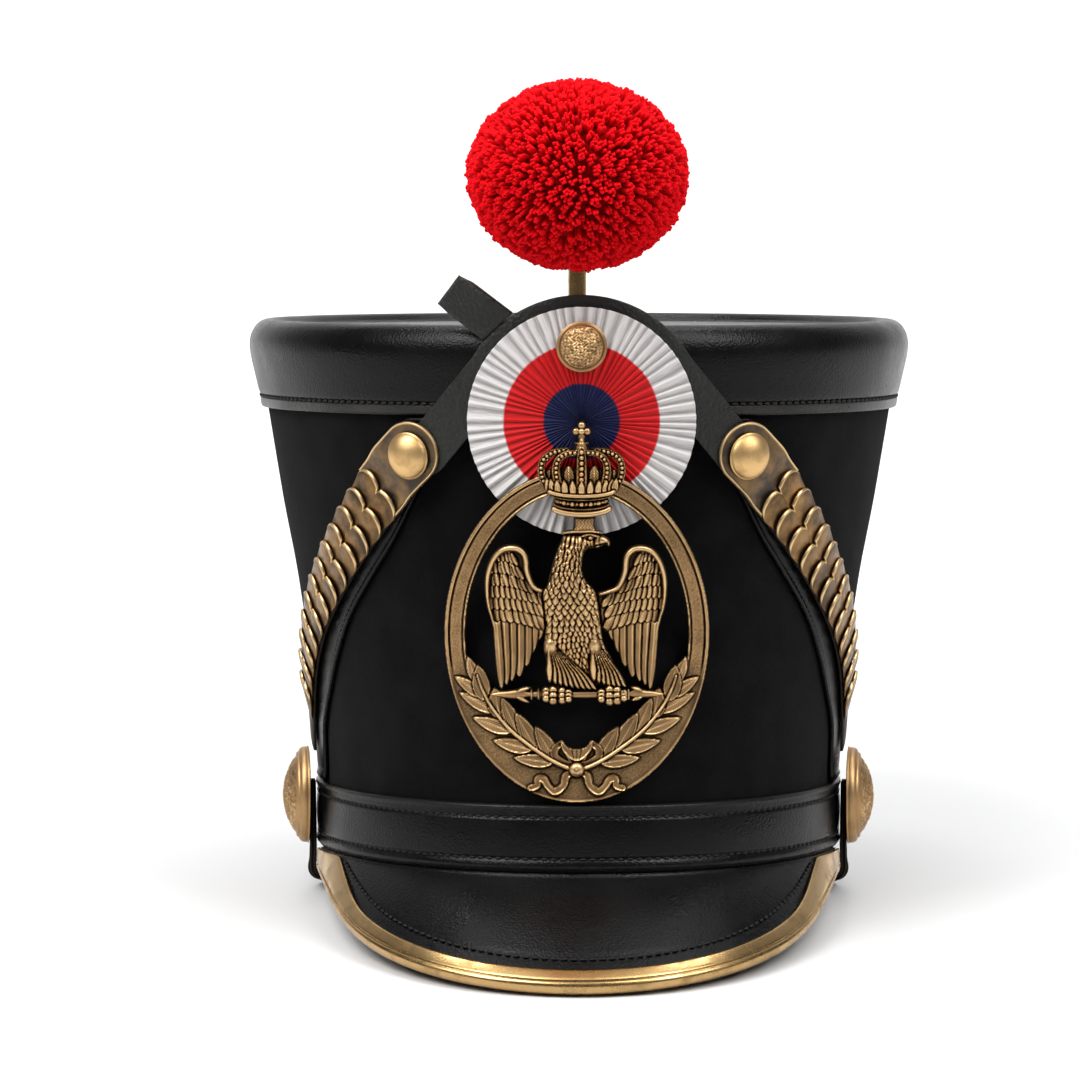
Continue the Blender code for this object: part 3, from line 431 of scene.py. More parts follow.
# %% Wool felt
def wool_felt():
    """Clouds of 14 mm choose between two blacks, and a nap of 0.9 mm roughens the face."""
    made, tree, shader, place = finish_named("wool_felt", "#080809", 0.96, Sheen_Weight=0.02,
                                             Sheen_Roughness=0.6, Specular_IOR_Level=0.06)
    cloud = node(tree, "TexNoise", "Fac", {"Vector": place, "Scale": per_mm(14), "Detail": 6.0})
    shade = node(tree, "ValToRGB", "Color", {"Fac": cloud}, stops=((0.35, "#030304"), (0.7, "#0c0c0d")))
    nap = node(tree, "TexNoise", "Fac", {"Vector": place, "Scale": per_mm(0.9), "Detail": 8.0,
                                         "Roughness": 0.75})
    rough = node(tree, "Bump", "Normal", {"Height": nap, "Strength": 0.8, "Distance": 0.35 * MM})
    feed(shader, {"Base Color": shade, "Normal": rough})
    return made


# %% [markdown]
# ### Leather
#
# Top, band and visor are smooth cowhide, dyed black and waxed. Cowhide has small uneven cells
# between fine creases, about 0.7 mm across. The straps behind the cockade were pressed with
# a coarser pebble. Wear lifts the wax a little, so the gloss is uneven, and the attribute
# "edge" marks cut and rubbed edges, where the grey fibre shows.

# %% Leather, smooth or pebbled
RAW_FIBRE = "#353431"


def leather(name, colour, worn, grain_mm, grain_depth, roughness):
    """Patches of 22 mm vary dye and gloss; rounded cells and fine creases make the grain."""
    made, tree, shader, place = finish_named(name, colour, roughness, Specular_IOR_Level=0.15)
    patch = node(tree, "TexNoise", "Fac", {"Vector": place, "Scale": per_mm(22), "Detail": 5.0})
    dye = node(tree, "Mix", "Result", {"Factor": patch, "A": linear(colour), "B": linear(worn)},
               data_type="RGBA")
    edge = node(tree, "Attribute", "Fac", {}, attribute_name="edge")
    tone = node(tree, "Mix", "Result", {"Factor": edge, "A": dye, "B": linear(RAW_FIBRE)}, data_type="RGBA")
    gloss = node(tree, "MapRange", "Result", {"Value": patch, "From Min": 0.3, "From Max": 0.7,
                                              "To Min": roughness - 0.07, "To Max": roughness + 0.09})
    cells = node(tree, "TexVoronoi", "Distance", {"Vector": place, "Scale": per_mm(grain_mm),
                                                  "Smoothness": 0.5}, feature="SMOOTH_F1")
    crease = node(tree, "TexNoise", "Fac", {"Vector": place, "Scale": per_mm(grain_mm * 5),
                                            "Detail": 8.0, "Roughness": 0.6})
    grain = node(tree, "Bump", "Normal", {"Height": cells, "Strength": 0.8, "Distance": grain_depth * MM})
    creased = node(tree, "Bump", "Normal", {"Height": crease, "Strength": 0.35, "Normal": grain,
                                            "Distance": grain_depth * 1.2 * MM})
    feed(shader, {"Base Color": tone, "Roughness": gloss, "Normal": creased})
    return made


# %% [markdown]
# ### Brass
#
# There are two brasses. The visor's edge, the scales and the buttons are rolled sheet with a
# satin polish, browned by handling, and on some of them the attribute "worn" makes the edges
# pale: rubbed wear, and on the scales also a painted highlight. The plate is cast and
# patinated: brown in its hollows, from patina together with painted shade, and bright on every
# high point. Its attribute "raised" says how far a point stands above its surroundings.

# %% Satin brass and patinated cast brass
# Pale brass for edges: rubbed wear, and a painted highlight along the scales' rims.
RUBBED_AND_HIGHLIGHT_BRASS = "#dcbc8a"


def sheet_brass(name, clean, tarnish, amount, roughness, worn_and_highlight_edges=False):
    """Clouds of 9 mm brown and dull the sheet by the amount; scuffs are about 1 mm long."""
    made, tree, shader, place = finish_named(name, clean, roughness, Metallic=1.0)
    cloud = node(tree, "TexNoise", "Fac", {"Vector": place, "Scale": per_mm(9), "Detail": 7.0,
                                           "Roughness": 0.62})
    brown = node(tree, "MapRange", "Result", {"Value": cloud, "From Min": 0.62 - amount,
                                              "From Max": 0.85 - amount * 0.6})
    tone = node(tree, "Mix", "Result", {"Factor": brown, "A": linear(clean), "B": linear(tarnish)},
                data_type="RGBA")
    # Edges marked "worn" turn pale brass: rubbed wear, and on the scales a painted highlight as well.
    if worn_and_highlight_edges:
        worn = node(tree, "Attribute", "Fac", {}, attribute_name="worn")
        tone = node(tree, "Mix", "Result", {"Factor": worn, "A": tone, "B": linear(RUBBED_AND_HIGHLIGHT_BRASS)},
                    data_type="RGBA")
    gloss = node(tree, "MapRange", "Result", {"Value": brown, "To Min": roughness,
                                              "To Max": roughness + 0.16})
    scuff = node(tree, "TexNoise", "Fac", {"Vector": place, "Scale": per_mm(1.1), "Detail": 6.0})
    scuffed = node(tree, "Bump", "Normal", {"Height": scuff, "Strength": 0.25, "Distance": 0.05 * MM})
    feed(shader, {"Base Color": tone, "Roughness": gloss, "Normal": scuffed})
    return made


def cast_brass():
    """The height, with clouds of 6 mm added, picks the tone: patina and painted shade in the hollows, rubbed
    brightness on high points; sand of 0.7 mm pits the face.
    """
    made, tree, shader, place = finish_named("patinated_cast_brass_painted_shade", "#a8834a", 0.34, Metallic=1.0)
    raised = node(tree, "Attribute", "Fac", {}, attribute_name="raised")
    cloud = node(tree, "TexNoise", "Fac", {"Vector": place, "Scale": per_mm(6), "Detail": 6.0})
    level = node(tree, "Math", "Value", {0: cloud, 1: 0.35, 2: raised}, operation="MULTIPLY_ADD")
    tone = node(tree, "ValToRGB", "Color", {"Fac": level}, stops=(
        (0.22, "#3d2f20"), (0.42, "#705a3f"), (0.62, "#9b7b55"), (0.8, "#b59266"), (0.98, "#d6b585")))
    gloss = node(tree, "MapRange", "Result", {"Value": level, "From Min": 0.3, "From Max": 0.95,
                                              "To Min": 0.56, "To Max": 0.42})
    sand = node(tree, "TexNoise", "Fac", {"Vector": place, "Scale": per_mm(0.7), "Detail": 5.0})
    pitted = node(tree, "Bump", "Normal", {"Height": sand, "Strength": 0.35, "Distance": 0.12 * MM})
    feed(shader, {"Base Color": tone, "Roughness": gloss, "Normal": pitted})
    return made


# %% [markdown]
# ### Ribbon, wool and thread
#
# The cockade is ribbed silk ribbon in three colours, one ring inside the other, so its
# colour goes by the attribute "radius" in millimetres, and painted shade greys the valleys of
# its pleats. The pompom's yarn is dyed wool: its ends are bright and painted shade darkens its
# roots. The thread is waxed black linen.

# %% Ribbon, yarn and thread
NAVY_RADIUS = 11.6
RED_RADIUS = 24.0
RIBBON_SPAN = 40.0             # the colour ramp runs from the middle to this radius
FRAY = 0.7                     # how far the edge of a colour wanders
BLEED = 0.5                    # and how wide the step between two colours is
RIBS_PER_RADIAN = 70.0         # drawn coarser than real ribs, which are too fine to show


def ribbon_silk():
    """Colour by radius, shaded by threads that fan out with the pleats, with painted shade in the valleys of
    the folds.
    """
    made, tree, shader, place = finish_named("ribbed_silk_ribbon", "#d2cecc", 0.66, Sheen_Weight=0.04,
                                             Sheen_Roughness=0.4, Specular_IOR_Level=0.25)
    radius, turn, fold = (node(tree, "Attribute", "Fac", {}, attribute_name=name)
                          for name in ("radius", "turn", "fold"))
    fray = node(tree, "TexNoise", "Fac", {"Vector": place, "Scale": per_mm(1.2), "Detail": 3.0})
    edge = node(tree, "Math", "Value", {0: fray, 1: FRAY, 2: radius}, operation="MULTIPLY_ADD")
    share = node(tree, "Math", "Value", {0: edge, 1: RIBBON_SPAN}, operation="DIVIDE")
    steps = ((NAVY_RADIUS, "#0e1646"), (NAVY_RADIUS + BLEED, "#c4080e"),
             (RED_RADIUS, "#cc0c12"), (RED_RADIUS + BLEED, "#d2cecc"))
    middle = [((step + FRAY / 2) / RIBBON_SPAN, colour) for step, colour in steps]
    tone = node(tree, "ValToRGB", "Color", {"Fac": share},
                stops=((0.0, "#0c133a"), *middle, (1.0, "#d2cecc")))
    fan = node(tree, "CombineXYZ", "Vector", {"X": turn, "Y": radius})
    fan = node(tree, "Mapping", "Vector", {"Vector": fan, "Scale": (RIBS_PER_RADIAN, 0.12, 1.0)})
    thread = node(tree, "TexNoise", "Fac", {"Vector": fan, "Scale": 1.0, "Detail": 5.0})
    # Painted shade: the attribute "fold" greys the colour down in the pleats' valleys.
    shade = node(tree, "Math", "Value", {0: fold, 1: 0.3, 2: thread}, operation="MULTIPLY_ADD")
    grey = node(tree, "ValToRGB", "Color", {"Fac": shade}, stops=((0.25, "#c2bfbe"), (0.62, "#ffffff")))
    ribbon_with_painted_fold_shade = node(tree, "Mix", "Result", {"A": tone, "B": grey, "Factor": 1.0}, data_type="RGBA",
                blend_type="MULTIPLY")
    ribbed = node(tree, "Bump", "Normal", {"Height": thread, "Strength": 0.6, "Distance": 0.15 * MM})
    feed(shader, {"Base Color": ribbon_with_painted_fold_shade, "Normal": ribbed})
    return made


def wool_yarn():
    """The attribute "tip" brightens the red from root to end, with painted shade at the roots; fibres are 0.8
    mm apart.
    """
    made, tree, shader, place = finish_named("dyed_wool_yarn_painted_root_shade", "#c0101a", 0.92, Sheen_Weight=0.1,
                                             Sheen_Roughness=0.5, Specular_IOR_Level=0.1,
                                             Sheen_Tint=linear("#ff3020"))
    tip = node(tree, "Attribute", "Fac", {}, attribute_name="tip")
    tone = node(tree, "ValToRGB", "Color", {"Fac": tip},
                stops=((0.0, "#900309"), (0.6, "#cc0612"), (1.0, "#ee0a18")))
    fibre = node(tree, "TexNoise", "Fac", {"Vector": place, "Scale": per_mm(0.8), "Detail": 6.0})
    fuzzy = node(tree, "Bump", "Normal", {"Height": fibre, "Strength": 0.7, "Distance": 0.3 * MM})
    feed(shader, {"Base Color": tone, "Normal": fuzzy})
    return made


def linen_thread():
    """Waxed black, with a twist of 0.5 mm."""
    made, tree, shader, place = finish_named("waxed_linen_thread", "#040404", 0.6, Specular_IOR_Level=0.3)
    twist = node(tree, "TexNoise", "Fac", {"Vector": place, "Scale": per_mm(0.5), "Detail": 3.0})
    feed(shader, {"Normal": node(tree, "Bump", "Normal", {"Height": twist, "Strength": 0.4,
                                                          "Distance": 0.1 * MM})})
    return made


# %% All the finishes
FELT = wool_felt()
COWHIDE = leather("waxed_black_cowhide", "#050506", "#0d0d0e", 0.7, 0.12, 0.29)
PEBBLED = leather("pebbled_black_leather", "#1f1f1f", "#333330", 1.2, 0.5, 0.42)
LINING = leather("dark_brown_strap_leather", "#17120e", "#2a2019", 1.0, 0.12, 0.55)
TRIM_BRASS = sheet_brass("satin_sheet_brass", "#c4a16c", "#93764a", 0.14, 0.24)
BUTTON_BRASS = sheet_brass("dulled_sheet_brass", "#dab47c", "#a08052", 0.12, 0.44)
SCALE_BRASS = sheet_brass("handled_sheet_brass_painted_edge_highlight", "#9a7548", "#483a2b", 0.34, 0.3, worn_and_highlight_edges=True)
PLATE_BRASS = sheet_brass("tarnished_sheet_brass", "#9c7b4e", "#4d4540", 0.42, 0.3, worn_and_highlight_edges=True)
CAST_BRASS = cast_brass()
RIBBON = ribbon_silk()
YARN = wool_yarn()
THREAD = linen_thread()
print("finishes", [material.name for material in bpy.data.materials])

# %% [markdown]
# ## Camera, floor and light
#
# The photograph was taken from about two metres with a long lens, a little above the hat's
# top and almost straight at its front. The camera is placed in the hat's own upright frame
# and leans back with it, so the hat is seen at the same angle as in the picture.

# %% Camera
CAMERA_DISTANCE = 2076.0
CAMERA_HEIGHT = 210.0
CAMERA_DROP = 0.0535           # how far the view falls for each unit ahead
CAMERA_TURN = 0.0061           # how far it turns left for each unit ahead
LENS = 211.1
SENSOR = 36.0

camera_data = bpy.data.cameras.new("camera")
camera_data.lens = LENS
camera_data.sensor_width = SENSOR
camera_data.clip_end = 20.0
camera = bpy.data.objects.new("camera", camera_data)
bpy.context.scene.collection.objects.link(camera)
heading = Vector(LEAN_BACK @ np.array([-CAMERA_TURN, 1.0, -CAMERA_DROP]))
camera.matrix_world = heading.to_track_quat("-Z", "Y").to_matrix().to_4x4()
camera.location = stand([0.0, -CAMERA_DISTANCE, CAMERA_HEIGHT])
bpy.context.scene.camera = camera
print("camera at", [round(v, 3) for v in camera.location])

# %% [markdown]
# A pale floor runs back and curves up into a wall, so the picture has no horizon. The light
# is large and soft: a broad sheet above and in front, a tall one on each side that draws the
# bright edges along brass and leather, and a weak one overhead. A last, strong lamp washes
# the wall only, so the background is as white as in the photograph.

# %% Floor and lights
FLOOR_AHEAD = 0.9
WALL_BEHIND = 3.0
WALL_TOP = 4.0
FLOOR_HALF_WIDTH = 5.0


def backdrop():
    """A sheet: flat floor, a quarter circle of one metre, and a wall, swept from side to side.

    The floor ends shortly before the hat, so the leather reflects less of it.
    """
    bend = np.linspace(0, math.pi / 2, 12)
    depth = np.concatenate([[-FLOOR_AHEAD], WALL_BEHIND - 1 + np.sin(bend), [WALL_BEHIND]])
    height = np.concatenate([[0.0], 1 - np.cos(bend), [WALL_TOP]])
    across = np.array([-FLOOR_HALF_WIDTH, 0.0, FLOOR_HALF_WIDTH])
    sheet = np.stack(np.broadcast_arrays(across, depth[:, None], height[:, None]), -1)
    mesh = bpy.data.meshes.new("backdrop")
    mesh.from_pydata(sheet.reshape(-1, 3).tolist(), [], grid_faces(*sheet.shape[:2], False, False).tolist())
    mesh.shade_smooth()
    mesh.materials.append(finish_named("pale_paper", "#cccccc", 0.9)[0])
    made = bpy.data.objects.new("backdrop", mesh)
    bpy.context.scene.collection.objects.link(made)


HAT_MIDDLE = (0.0, 0.0, 0.12)
WALL_MIDDLE = (0.0, WALL_BEHIND, 1.2)
LIGHTS = (
    # name, place in metres, what it looks at, width, height, watts, spread
    ("front_sheet", (-0.85, -1.1, 2.0), HAT_MIDDLE, 1.2, 0.8, 13.5, 180.0),
    ("left_sheet", (-1.35, -0.75, 2.0), HAT_MIDDLE, 1.2, 2.2, 15.0, 80.0),
    ("right_sheet", (1.35, -0.75, 2.0), HAT_MIDDLE, 1.2, 2.2, 13.5, 80.0),
    ("top_sheet", (0.0, 0.1, 1.8), HAT_MIDDLE, 1.2, 1.2, 5.5, 180.0),
    ("wall_wash", (0.0, 1.2, 2.9), WALL_MIDDLE, 2.6, 0.8, 150.0, 180.0),
)


def soft_light(name, place, target, width, height, watts, spread):
    """A rectangular area light that looks at the target; spread is in degrees."""
    data = bpy.data.lights.new(name, "AREA")
    data.shape = "RECTANGLE"
    data.size, data.size_y, data.energy, data.spread = width, height, watts, math.radians(spread)
    lamp = bpy.data.objects.new(name, data)
    bpy.context.scene.collection.objects.link(lamp)
    aim = Vector(target) - Vector(place)
    lamp.matrix_world = aim.to_track_quat("-Z", "Y").to_matrix().to_4x4()
    lamp.location = place


backdrop()
for row in LIGHTS:
    soft_light(*row)
world = bpy.data.worlds.new("studio")
world.use_nodes = True
feed(world.node_tree.nodes["Background"], {"Color": linear("#dfe3ea"), "Strength": 0.14})
bpy.context.scene.world = world
bpy.context.scene.view_settings.view_transform = "Standard"
print("lights", len(LIGHTS))

# %% [markdown]
# ## Felt body
#
# A felt body is one seamless cone, steamed and pulled over a block. Its mesh is one closed
# profile, up the outside and down the inside, carried round the oval. The lower edge is
# rounded, because pressed felt has no sharp edge.

# %% Felt body
SIDES = 160
TURNS = full_turn(SIDES)


def turned_round(profile):
    """Rows of (height, offset from the felt) carried round the hat's oval."""
    profile = np.array(profile, dtype=float)
    return hat(TURNS[None, :], profile[:, :1], profile[:, 1:])


def felt_body():
    """Up the outside, down the inside and round the hem, carried round the oval."""
    rise = np.linspace(1.3, 166.6, 26)
    outside = [(height, 0.0) for height in rise]
    inside = [(height, -FELT_WALL) for height in rise[::-1]]
    hem = [(0.3, -0.8), (0.3, -1.7)]
    shape = skin(turned_round(outside + inside + hem), wrap_rows=True)
    piece("felt_cone", shape, FELT, ["felt_body"])


felt_body()
print("felt_cone", pieces["felt_cone"], "faces")

# %% [markdown]
# ## Leather top
#
# The top is a sunk disc of leather, and its edge is a padded roll. Below the roll the
# leather turns down over the felt as a band, folded under at its lower edge and stitched.
# The profile goes up the band, over the roll, in to the middle, and back underneath.

# %% Leather top and its seam
TOP_FACE = (
    # height, stand_out
    (143.3, 0.5), (143.2, 1.6), (143.5, 2), (144.2, 2.15), (145.8, 2.1), (146.3, 1.95), (146.7, 1.3),
    (147.1, 1.25), (147.6, 1.9), (149, 2.25), (153, 2.55), (157.5, 2.9), (160.8, 3.05), (163, 3),
    (165, 2.7), (166.8, 2.15), (168.4, 1.35), (169.8, 0.3), (170.8, -0.9), (171.4, -2.2), (171.6, -3.4),
    (171.1, -4.6), (170.2, -5.6), (169.3, -6.6), (169, -8.5),
)
TOP_UNDERSIDE = (
    (167.35, -60), (167.35, -9), (168.3, -6.4), (169.3, -4.5), (170, -2.9), (169.8, -1.4), (168.2, 0.1),
    (166.4, 0.8), (163, 1), (150, 0.5),
)
TOP_UNDERSIDE_MIDDLE = 167.3
TOP_DISC_SPAN = 89.5           # from the foot of the roll to the disc's last ring
TOP_SAG = 0.5                  # the disc hangs this much lower in its middle
TOP_SEAM_HEIGHT = 146.9
SEAM_TURNS = np.linspace(0, 2 * math.pi, 720)
TOP_HEM = 2.9                  # height of the worn strip below the seam


def top_leather():
    """One profile from the band over the roll to the middle, and back underneath."""
    face = smooth_rows(TOP_FACE, 3)
    sag = np.linspace(0, 1, 14)[1:-1]
    disc = np.stack([TOP_FACE[-1][0] - TOP_SAG * ease(sag), TOP_FACE[-1][1] - TOP_DISC_SPAN * sag], -1)
    rows = np.vstack([face, disc])
    outside, inside = turned_round(rows), turned_round(TOP_UNDERSIDE)
    poles = ((0, 0, TOP_UNDERSIDE_MIDDLE), (0, 0, TOP_FACE[-1][0] - TOP_SAG))
    shape = skin(np.concatenate([inside[::-1], outside]), poles=poles)
    below = TOP_SEAM_HEIGHT - 0.4 - rows[:, 0]
    hem = ease(below / 0.3) * ease((TOP_HEM - below) / 0.5)
    patchy = 0.75 + 0.25 * np.sin(TURNS * 9 + 2 * np.sin(TURNS * 4)) * np.cos(TURNS * 23)
    worn = np.concatenate([np.zeros((len(TOP_UNDERSIDE), SIDES)), hem[:, None] * patchy])
    piece("leather_crown", shape, COWHIDE, ["top_leather"],
          {"edge": np.append(worn.ravel(), [0.0, 0.0])})
    shape = hat_seam(SEAM_TURNS, TOP_SEAM_HEIGHT, 1.8, pitch=3.1, length=2.5, radius=0.6)
    piece("crown_seam", shape, THREAD)


top_leather()
print("leather_crown", pieces["leather_crown"], "faces, crown_seam", pieces["crown_seam"])

# %% [markdown]
# ## Head band
#
# The head band is a strip of leather with its edges skived and rolled, so they stand a
# little proud, with a seam inside each edge. The leather between the seams swells slightly.

# %% Head band and its seams
BAND_SEAMS = (4.3, 17.4)


def band_offset(height):
    """Face of the band: a swell between the seams, a dip at each seam and a rolled edge."""
    low, high = BAND_SEAMS
    swell = 0.35 * np.sin(np.pi * np.clip((height - low) / (high - low), 0, 1))
    dips = sum(0.4 * np.exp(-((height - seam) / 0.55) ** 2) for seam in BAND_SEAMS)
    hem = 0.5 * np.exp(-((height - 2.0) / 1.5) ** 2)
    piping = 0.4 * np.exp(-((height - BAND_HEIGHT + 1.2) / 0.8) ** 2)
    return GAP + BAND_WALL - 0.35 + swell - dips + hem + piping


def head_band():
    """The face's profile with rounded edges, closed behind, carried round the oval."""
    height = np.linspace(0.7, BAND_HEIGHT - 0.5, 76)
    face = np.stack([height, band_offset(height) - 0.5 * np.exp(-(height - 0.7) / 0.5)], -1)
    high, low = GAP + BAND_WALL - BAND_EDGE, GAP + BAND_EDGE
    lower_edge = [(0.0, GAP), (0.0, low), (0.2, high)]
    upper_edge = [(BAND_HEIGHT - 0.2, high), (BAND_HEIGHT, low), (BAND_HEIGHT, GAP)]
    profile = np.vstack([lower_edge, face, upper_edge])
    shape = skin(turned_round(profile), wrap_rows=True)
    edge = np.minimum(profile[:, 0], BAND_HEIGHT - profile[:, 0])
    worn = 0.28 * np.exp(-((edge - 1.0) / 0.8) ** 2)[:, None] * np.ones(SIDES)
    piece("band_leather", shape, COWHIDE, ["head_band"], {"edge": worn})
    shape = joined([hat_seam(SEAM_TURNS, height, band_offset(height) + 0.12) for height in BAND_SEAMS])
    piece("band_seams", shape, THREAD)


head_band()
print("band_leather", pieces["band_leather"], "faces")

# %% [markdown]
# ## Visor
#
# The visor is thick leather, lasted while wet, so it falls away in front and bends up steeply
# at its ends. A section across it, a slight dome with a dip at the seam, is carried from
# one end to the other. Brass is folded over its edge, with a face above and a lip below.

# %% Visor leather
VISOR_DOME = 1.2
TRIM_FACE = 7.5
TRIM_LIP = 3.4
TRIM_SPREAD = 6.0              # how much wider the brass gets where it runs up to the band
VISOR_STEPS = 140
UPPER_COLUMNS = 30
LOWER_COLUMNS = 14
VISOR_SEAM = 3.6               # from the brass edge in to the seam
SEAM_REACH = 14.0              # no seam is pressed where the visor is narrower than this
SHOULDER_DROP = 0.12           # the visor's inner edge lies this close under the band


def visor_turns():
    """Stations from end to end, closer together near the ends where the slope changes fast."""
    return np.sin(np.linspace(-math.pi / 2, math.pi / 2, VISOR_STEPS))


def visor_place(turn, out, rise):
    """Point of the visor: so far out from the band along the slope, and so far above it."""
    foot, along, normal, _ = visor_frame(turn)
    return foot + along * np.asarray(out)[..., None] + normal * np.asarray(rise)[..., None]


def visor():
    """Dome, seam and shoulder of the section, scaled to the reach at every station."""
    turns = visor_turns()[:, None]
    reach = visor_frame(turns[:, 0])[3][:, None]
    start, end = 0.5, reach - TRIM_WALL - TRIM_PLAY
    share = np.concatenate([np.linspace(0, 1, UPPER_COLUMNS), np.linspace(1, 0, LOWER_COLUMNS)])
    upper = np.arange(len(share)) < UPPER_COLUMNS
    out = start + (end - start) * share
    under_trim = np.maximum(end - TRIM_FACE, start + 0.5)
    across = np.clip((out - start) / (under_trim - start), 0, 1)
    dome = VISOR_DOME * reach / VISOR_REACH * np.sin(np.pi * across)
    seam = under_trim - VISOR_SEAM
    dip = 0.35 * np.exp(-((out - seam) / 0.7) ** 2) * (reach > SEAM_REACH)
    rise = np.where(upper, dome - dip, dome * 0.8 - VISOR_WALL) - TRIM_PLAY
    foot = visor_frame(turns)[0]
    inward = unit(hat(VISOR_SPAN * turns, 0.0) - foot)
    shoulder = foot + inward * np.array([2.6, 0.15])[:, None] - (0.0, 0.0, SHOULDER_DROP)
    section = np.concatenate([visor_place(turns, out, rise), shoulder], axis=1)
    shape = skin(section)
    piece("visor_leather", shape, COWHIDE, ["visor"])
    inner = seam[:, 0] > 1.6
    line = visor_place(visor_turns(), seam[:, 0], np.zeros(VISOR_STEPS))[inner]
    normal = visor_frame(visor_turns())[2]
    shape = stitches(line, normal[inner], pitch=3.0, length=2.3, radius=0.55)
    piece("visor_seam", shape, THREAD)


visor()
print("visor_leather", pieces["visor_leather"], "faces")

# %% [markdown]
# The brass edge is one strip of sheet. Its section starts under the visor, turns round the
# edge in a small radius, and ends on the upper face with a fine rounded border. It is
# highest along its middle, which gives the long highlight that the photograph shows.

# %% Brass edge of the visor
def visor_trim():
    """The folded strip's section: distances in from the edge, and heights."""
    turns = visor_turns()[:, None]
    reach = visor_frame(turns[:, 0])[3][:, None]
    wider = TRIM_FACE + TRIM_SPREAD * ease((np.abs(turns) - 0.5) / 0.42)
    face = np.minimum(wider, reach - 0.35)
    under = -2 * TRIM_PLAY - VISOR_WALL
    middle, half = under / 2, TRIM_WALL - under / 2
    bend = np.linspace(math.pi / 2, -math.pi / 2, 13)[1:-1]
    columns = [(face + (3.1 - face) * share, TRIM_WALL * level) for share, level in
               ((0, 0.3), (0.01, 0.75), (0.05, 0.95), (0.2, 1.0), (0.5, 1.04), (0.8, 1.0), (1.0, 0.98))]
    columns += [(distance, TRIM_WALL * level) for distance, level in
                ((2.85, 0.85), (2.65, 0.45), (2.5, 0.4), (2.35, 0.8), (2.1, 1.05))]
    columns += [(2.0 - 2.0 * math.cos(angle), middle + half * math.sin(angle)) for angle in bend]
    columns += [(2.0, under - TRIM_WALL), (TRIM_LIP, under - TRIM_WALL), (TRIM_LIP, under - 0.1),
                (1.4, under - 0.1), (0.9, middle), (1.4, 0.05), (face, 0.05)]
    edge = np.concatenate([distance + 0 * face for distance, _ in columns], axis=1)
    rise = np.concatenate([level + 0 * face for _, level in columns], axis=1)
    shape = skin(visor_place(turns, reach - edge, rise))
    piece("visor_edge", shape, TRIM_BRASS, ["visor_trim"])


visor_trim()
print("visor_edge", pieces["visor_edge"], "faces")

# %% [markdown]
# ## Leather V on each side
#
# A V of soft leather stiffens each side of the body. Its edge is turned over a cord, so a
# welt runs along it with a seam just inside. The V is a grid: stations round the hat, and
# across each station a closed section that swells at both welts.

# %% Leather V
CHEVRON_SECTIONS = (
    # degrees_from_front, lower_edge, upper_edge
    (20.5, 141.6, 142.8), (26, 130, 142.8), (31.5, 116, 142.8), (36.8, 103.5, 132.5), (43.7, 91.5, 121),
    (51.7, 78.5, 108.5), (57, 68.5, 98.5), (64, 54.5, 83.5), (71, 40, 69.5), (74.5, 21.9, 62),
    (83.5, 21.9, 46),
)
CHEVRON_FOOT = 0.4
CHEVRON_WALL = 1.0
WELT = 2.4                     # width of the welt, measured up the hat
HANDS = (("left", -1), ("right", 1))


def chevron_stations():
    """The table to the V's middle and mirrored behind it, on a smooth curve."""
    ahead = np.array(CHEVRON_SECTIONS)
    behind = ahead[-2::-1] * (-1, 1, 1) + (2 * ahead[-1, 0], 0, 0)
    rows = smooth_rows(np.vstack([ahead, behind]), 6)
    rows[:, 1] = np.clip(rows[:, 1], BAND_HEIGHT + 0.3, None)
    rows[:, 2] = np.minimum(rows[:, 2], 142.9)
    return rows


def chevron(hand, side):
    """Across each station: welt, groove and level leather, then the plain back."""
    rows = chevron_stations()
    angle, low, high = np.radians(rows[:, :1]) * side, rows[:, 1:2], rows[:, 2:]
    across = np.concatenate([np.linspace(0, 0.28, 12), np.linspace(0.34, 0.66, 6), np.linspace(0.72, 1, 12)])
    near = np.minimum(across, 1 - across) * (high - low)
    swell = 0.55 * np.exp(-((near - WELT * 0.5) / (WELT * 0.34)) ** 2)
    groove = 0.3 * np.exp(-((near - WELT * 1.25) / (WELT * 0.3)) ** 2)
    rounded = CHEVRON_WALL * np.sqrt(np.clip(near / 0.9, 0.0, 1.0))
    face = hat(angle, low + (high - low) * across, CHEVRON_FOOT + 0.1 + rounded + swell - groove)
    back = hat(angle, low + (high - low) * across[::-6], CHEVRON_FOOT)
    shape = skin(np.concatenate([face, back], axis=1))
    piece(f"side_leather_{hand}", shape, COWHIDE, [f"chevron_{hand}"])
    middle = len(rows) // 2
    seams = []
    for start, end in ((24, middle - 4), (middle + 4, len(rows) - 24)):
        angles, heights = angle[start:end, 0], low[start:end, 0] + WELT * 1.3
        seams.append(hat_seam(angles, heights, CHEVRON_FOOT + CHEVRON_WALL, pitch=2.3, length=1.7,
                              radius=0.3))
    piece(f"side_seam_{hand}", joined(seams), THREAD)


for hand, side in HANDS:
    chevron(hand, side)
print("side_leather", pieces["side_leather_left"], "faces each")

# %% [markdown]
# ## The line of the scale straps
#
# Both scale straps follow one smooth line from the button down to the rosette. A frame on
# that line gives, at any run along it, the direction across, up to the button and outward.

# %% Strap line and strap frame
STRAP_PATH = (
    # degrees_from_front, height, width
    (30, 131.5, 20), (37.5, 120, 20), (46, 106.5, 19), (56, 91, 18), (66, 75.5, 17), (74, 60.5, 15.5),
    (79.5, 46, 13.5), (82.5, 33, 12),
)
strap_rows = smooth_rows(STRAP_PATH, 6)
strap_points = hat(np.radians(strap_rows[:, 0]), strap_rows[:, 1])
strap_runs = run_along(strap_points)


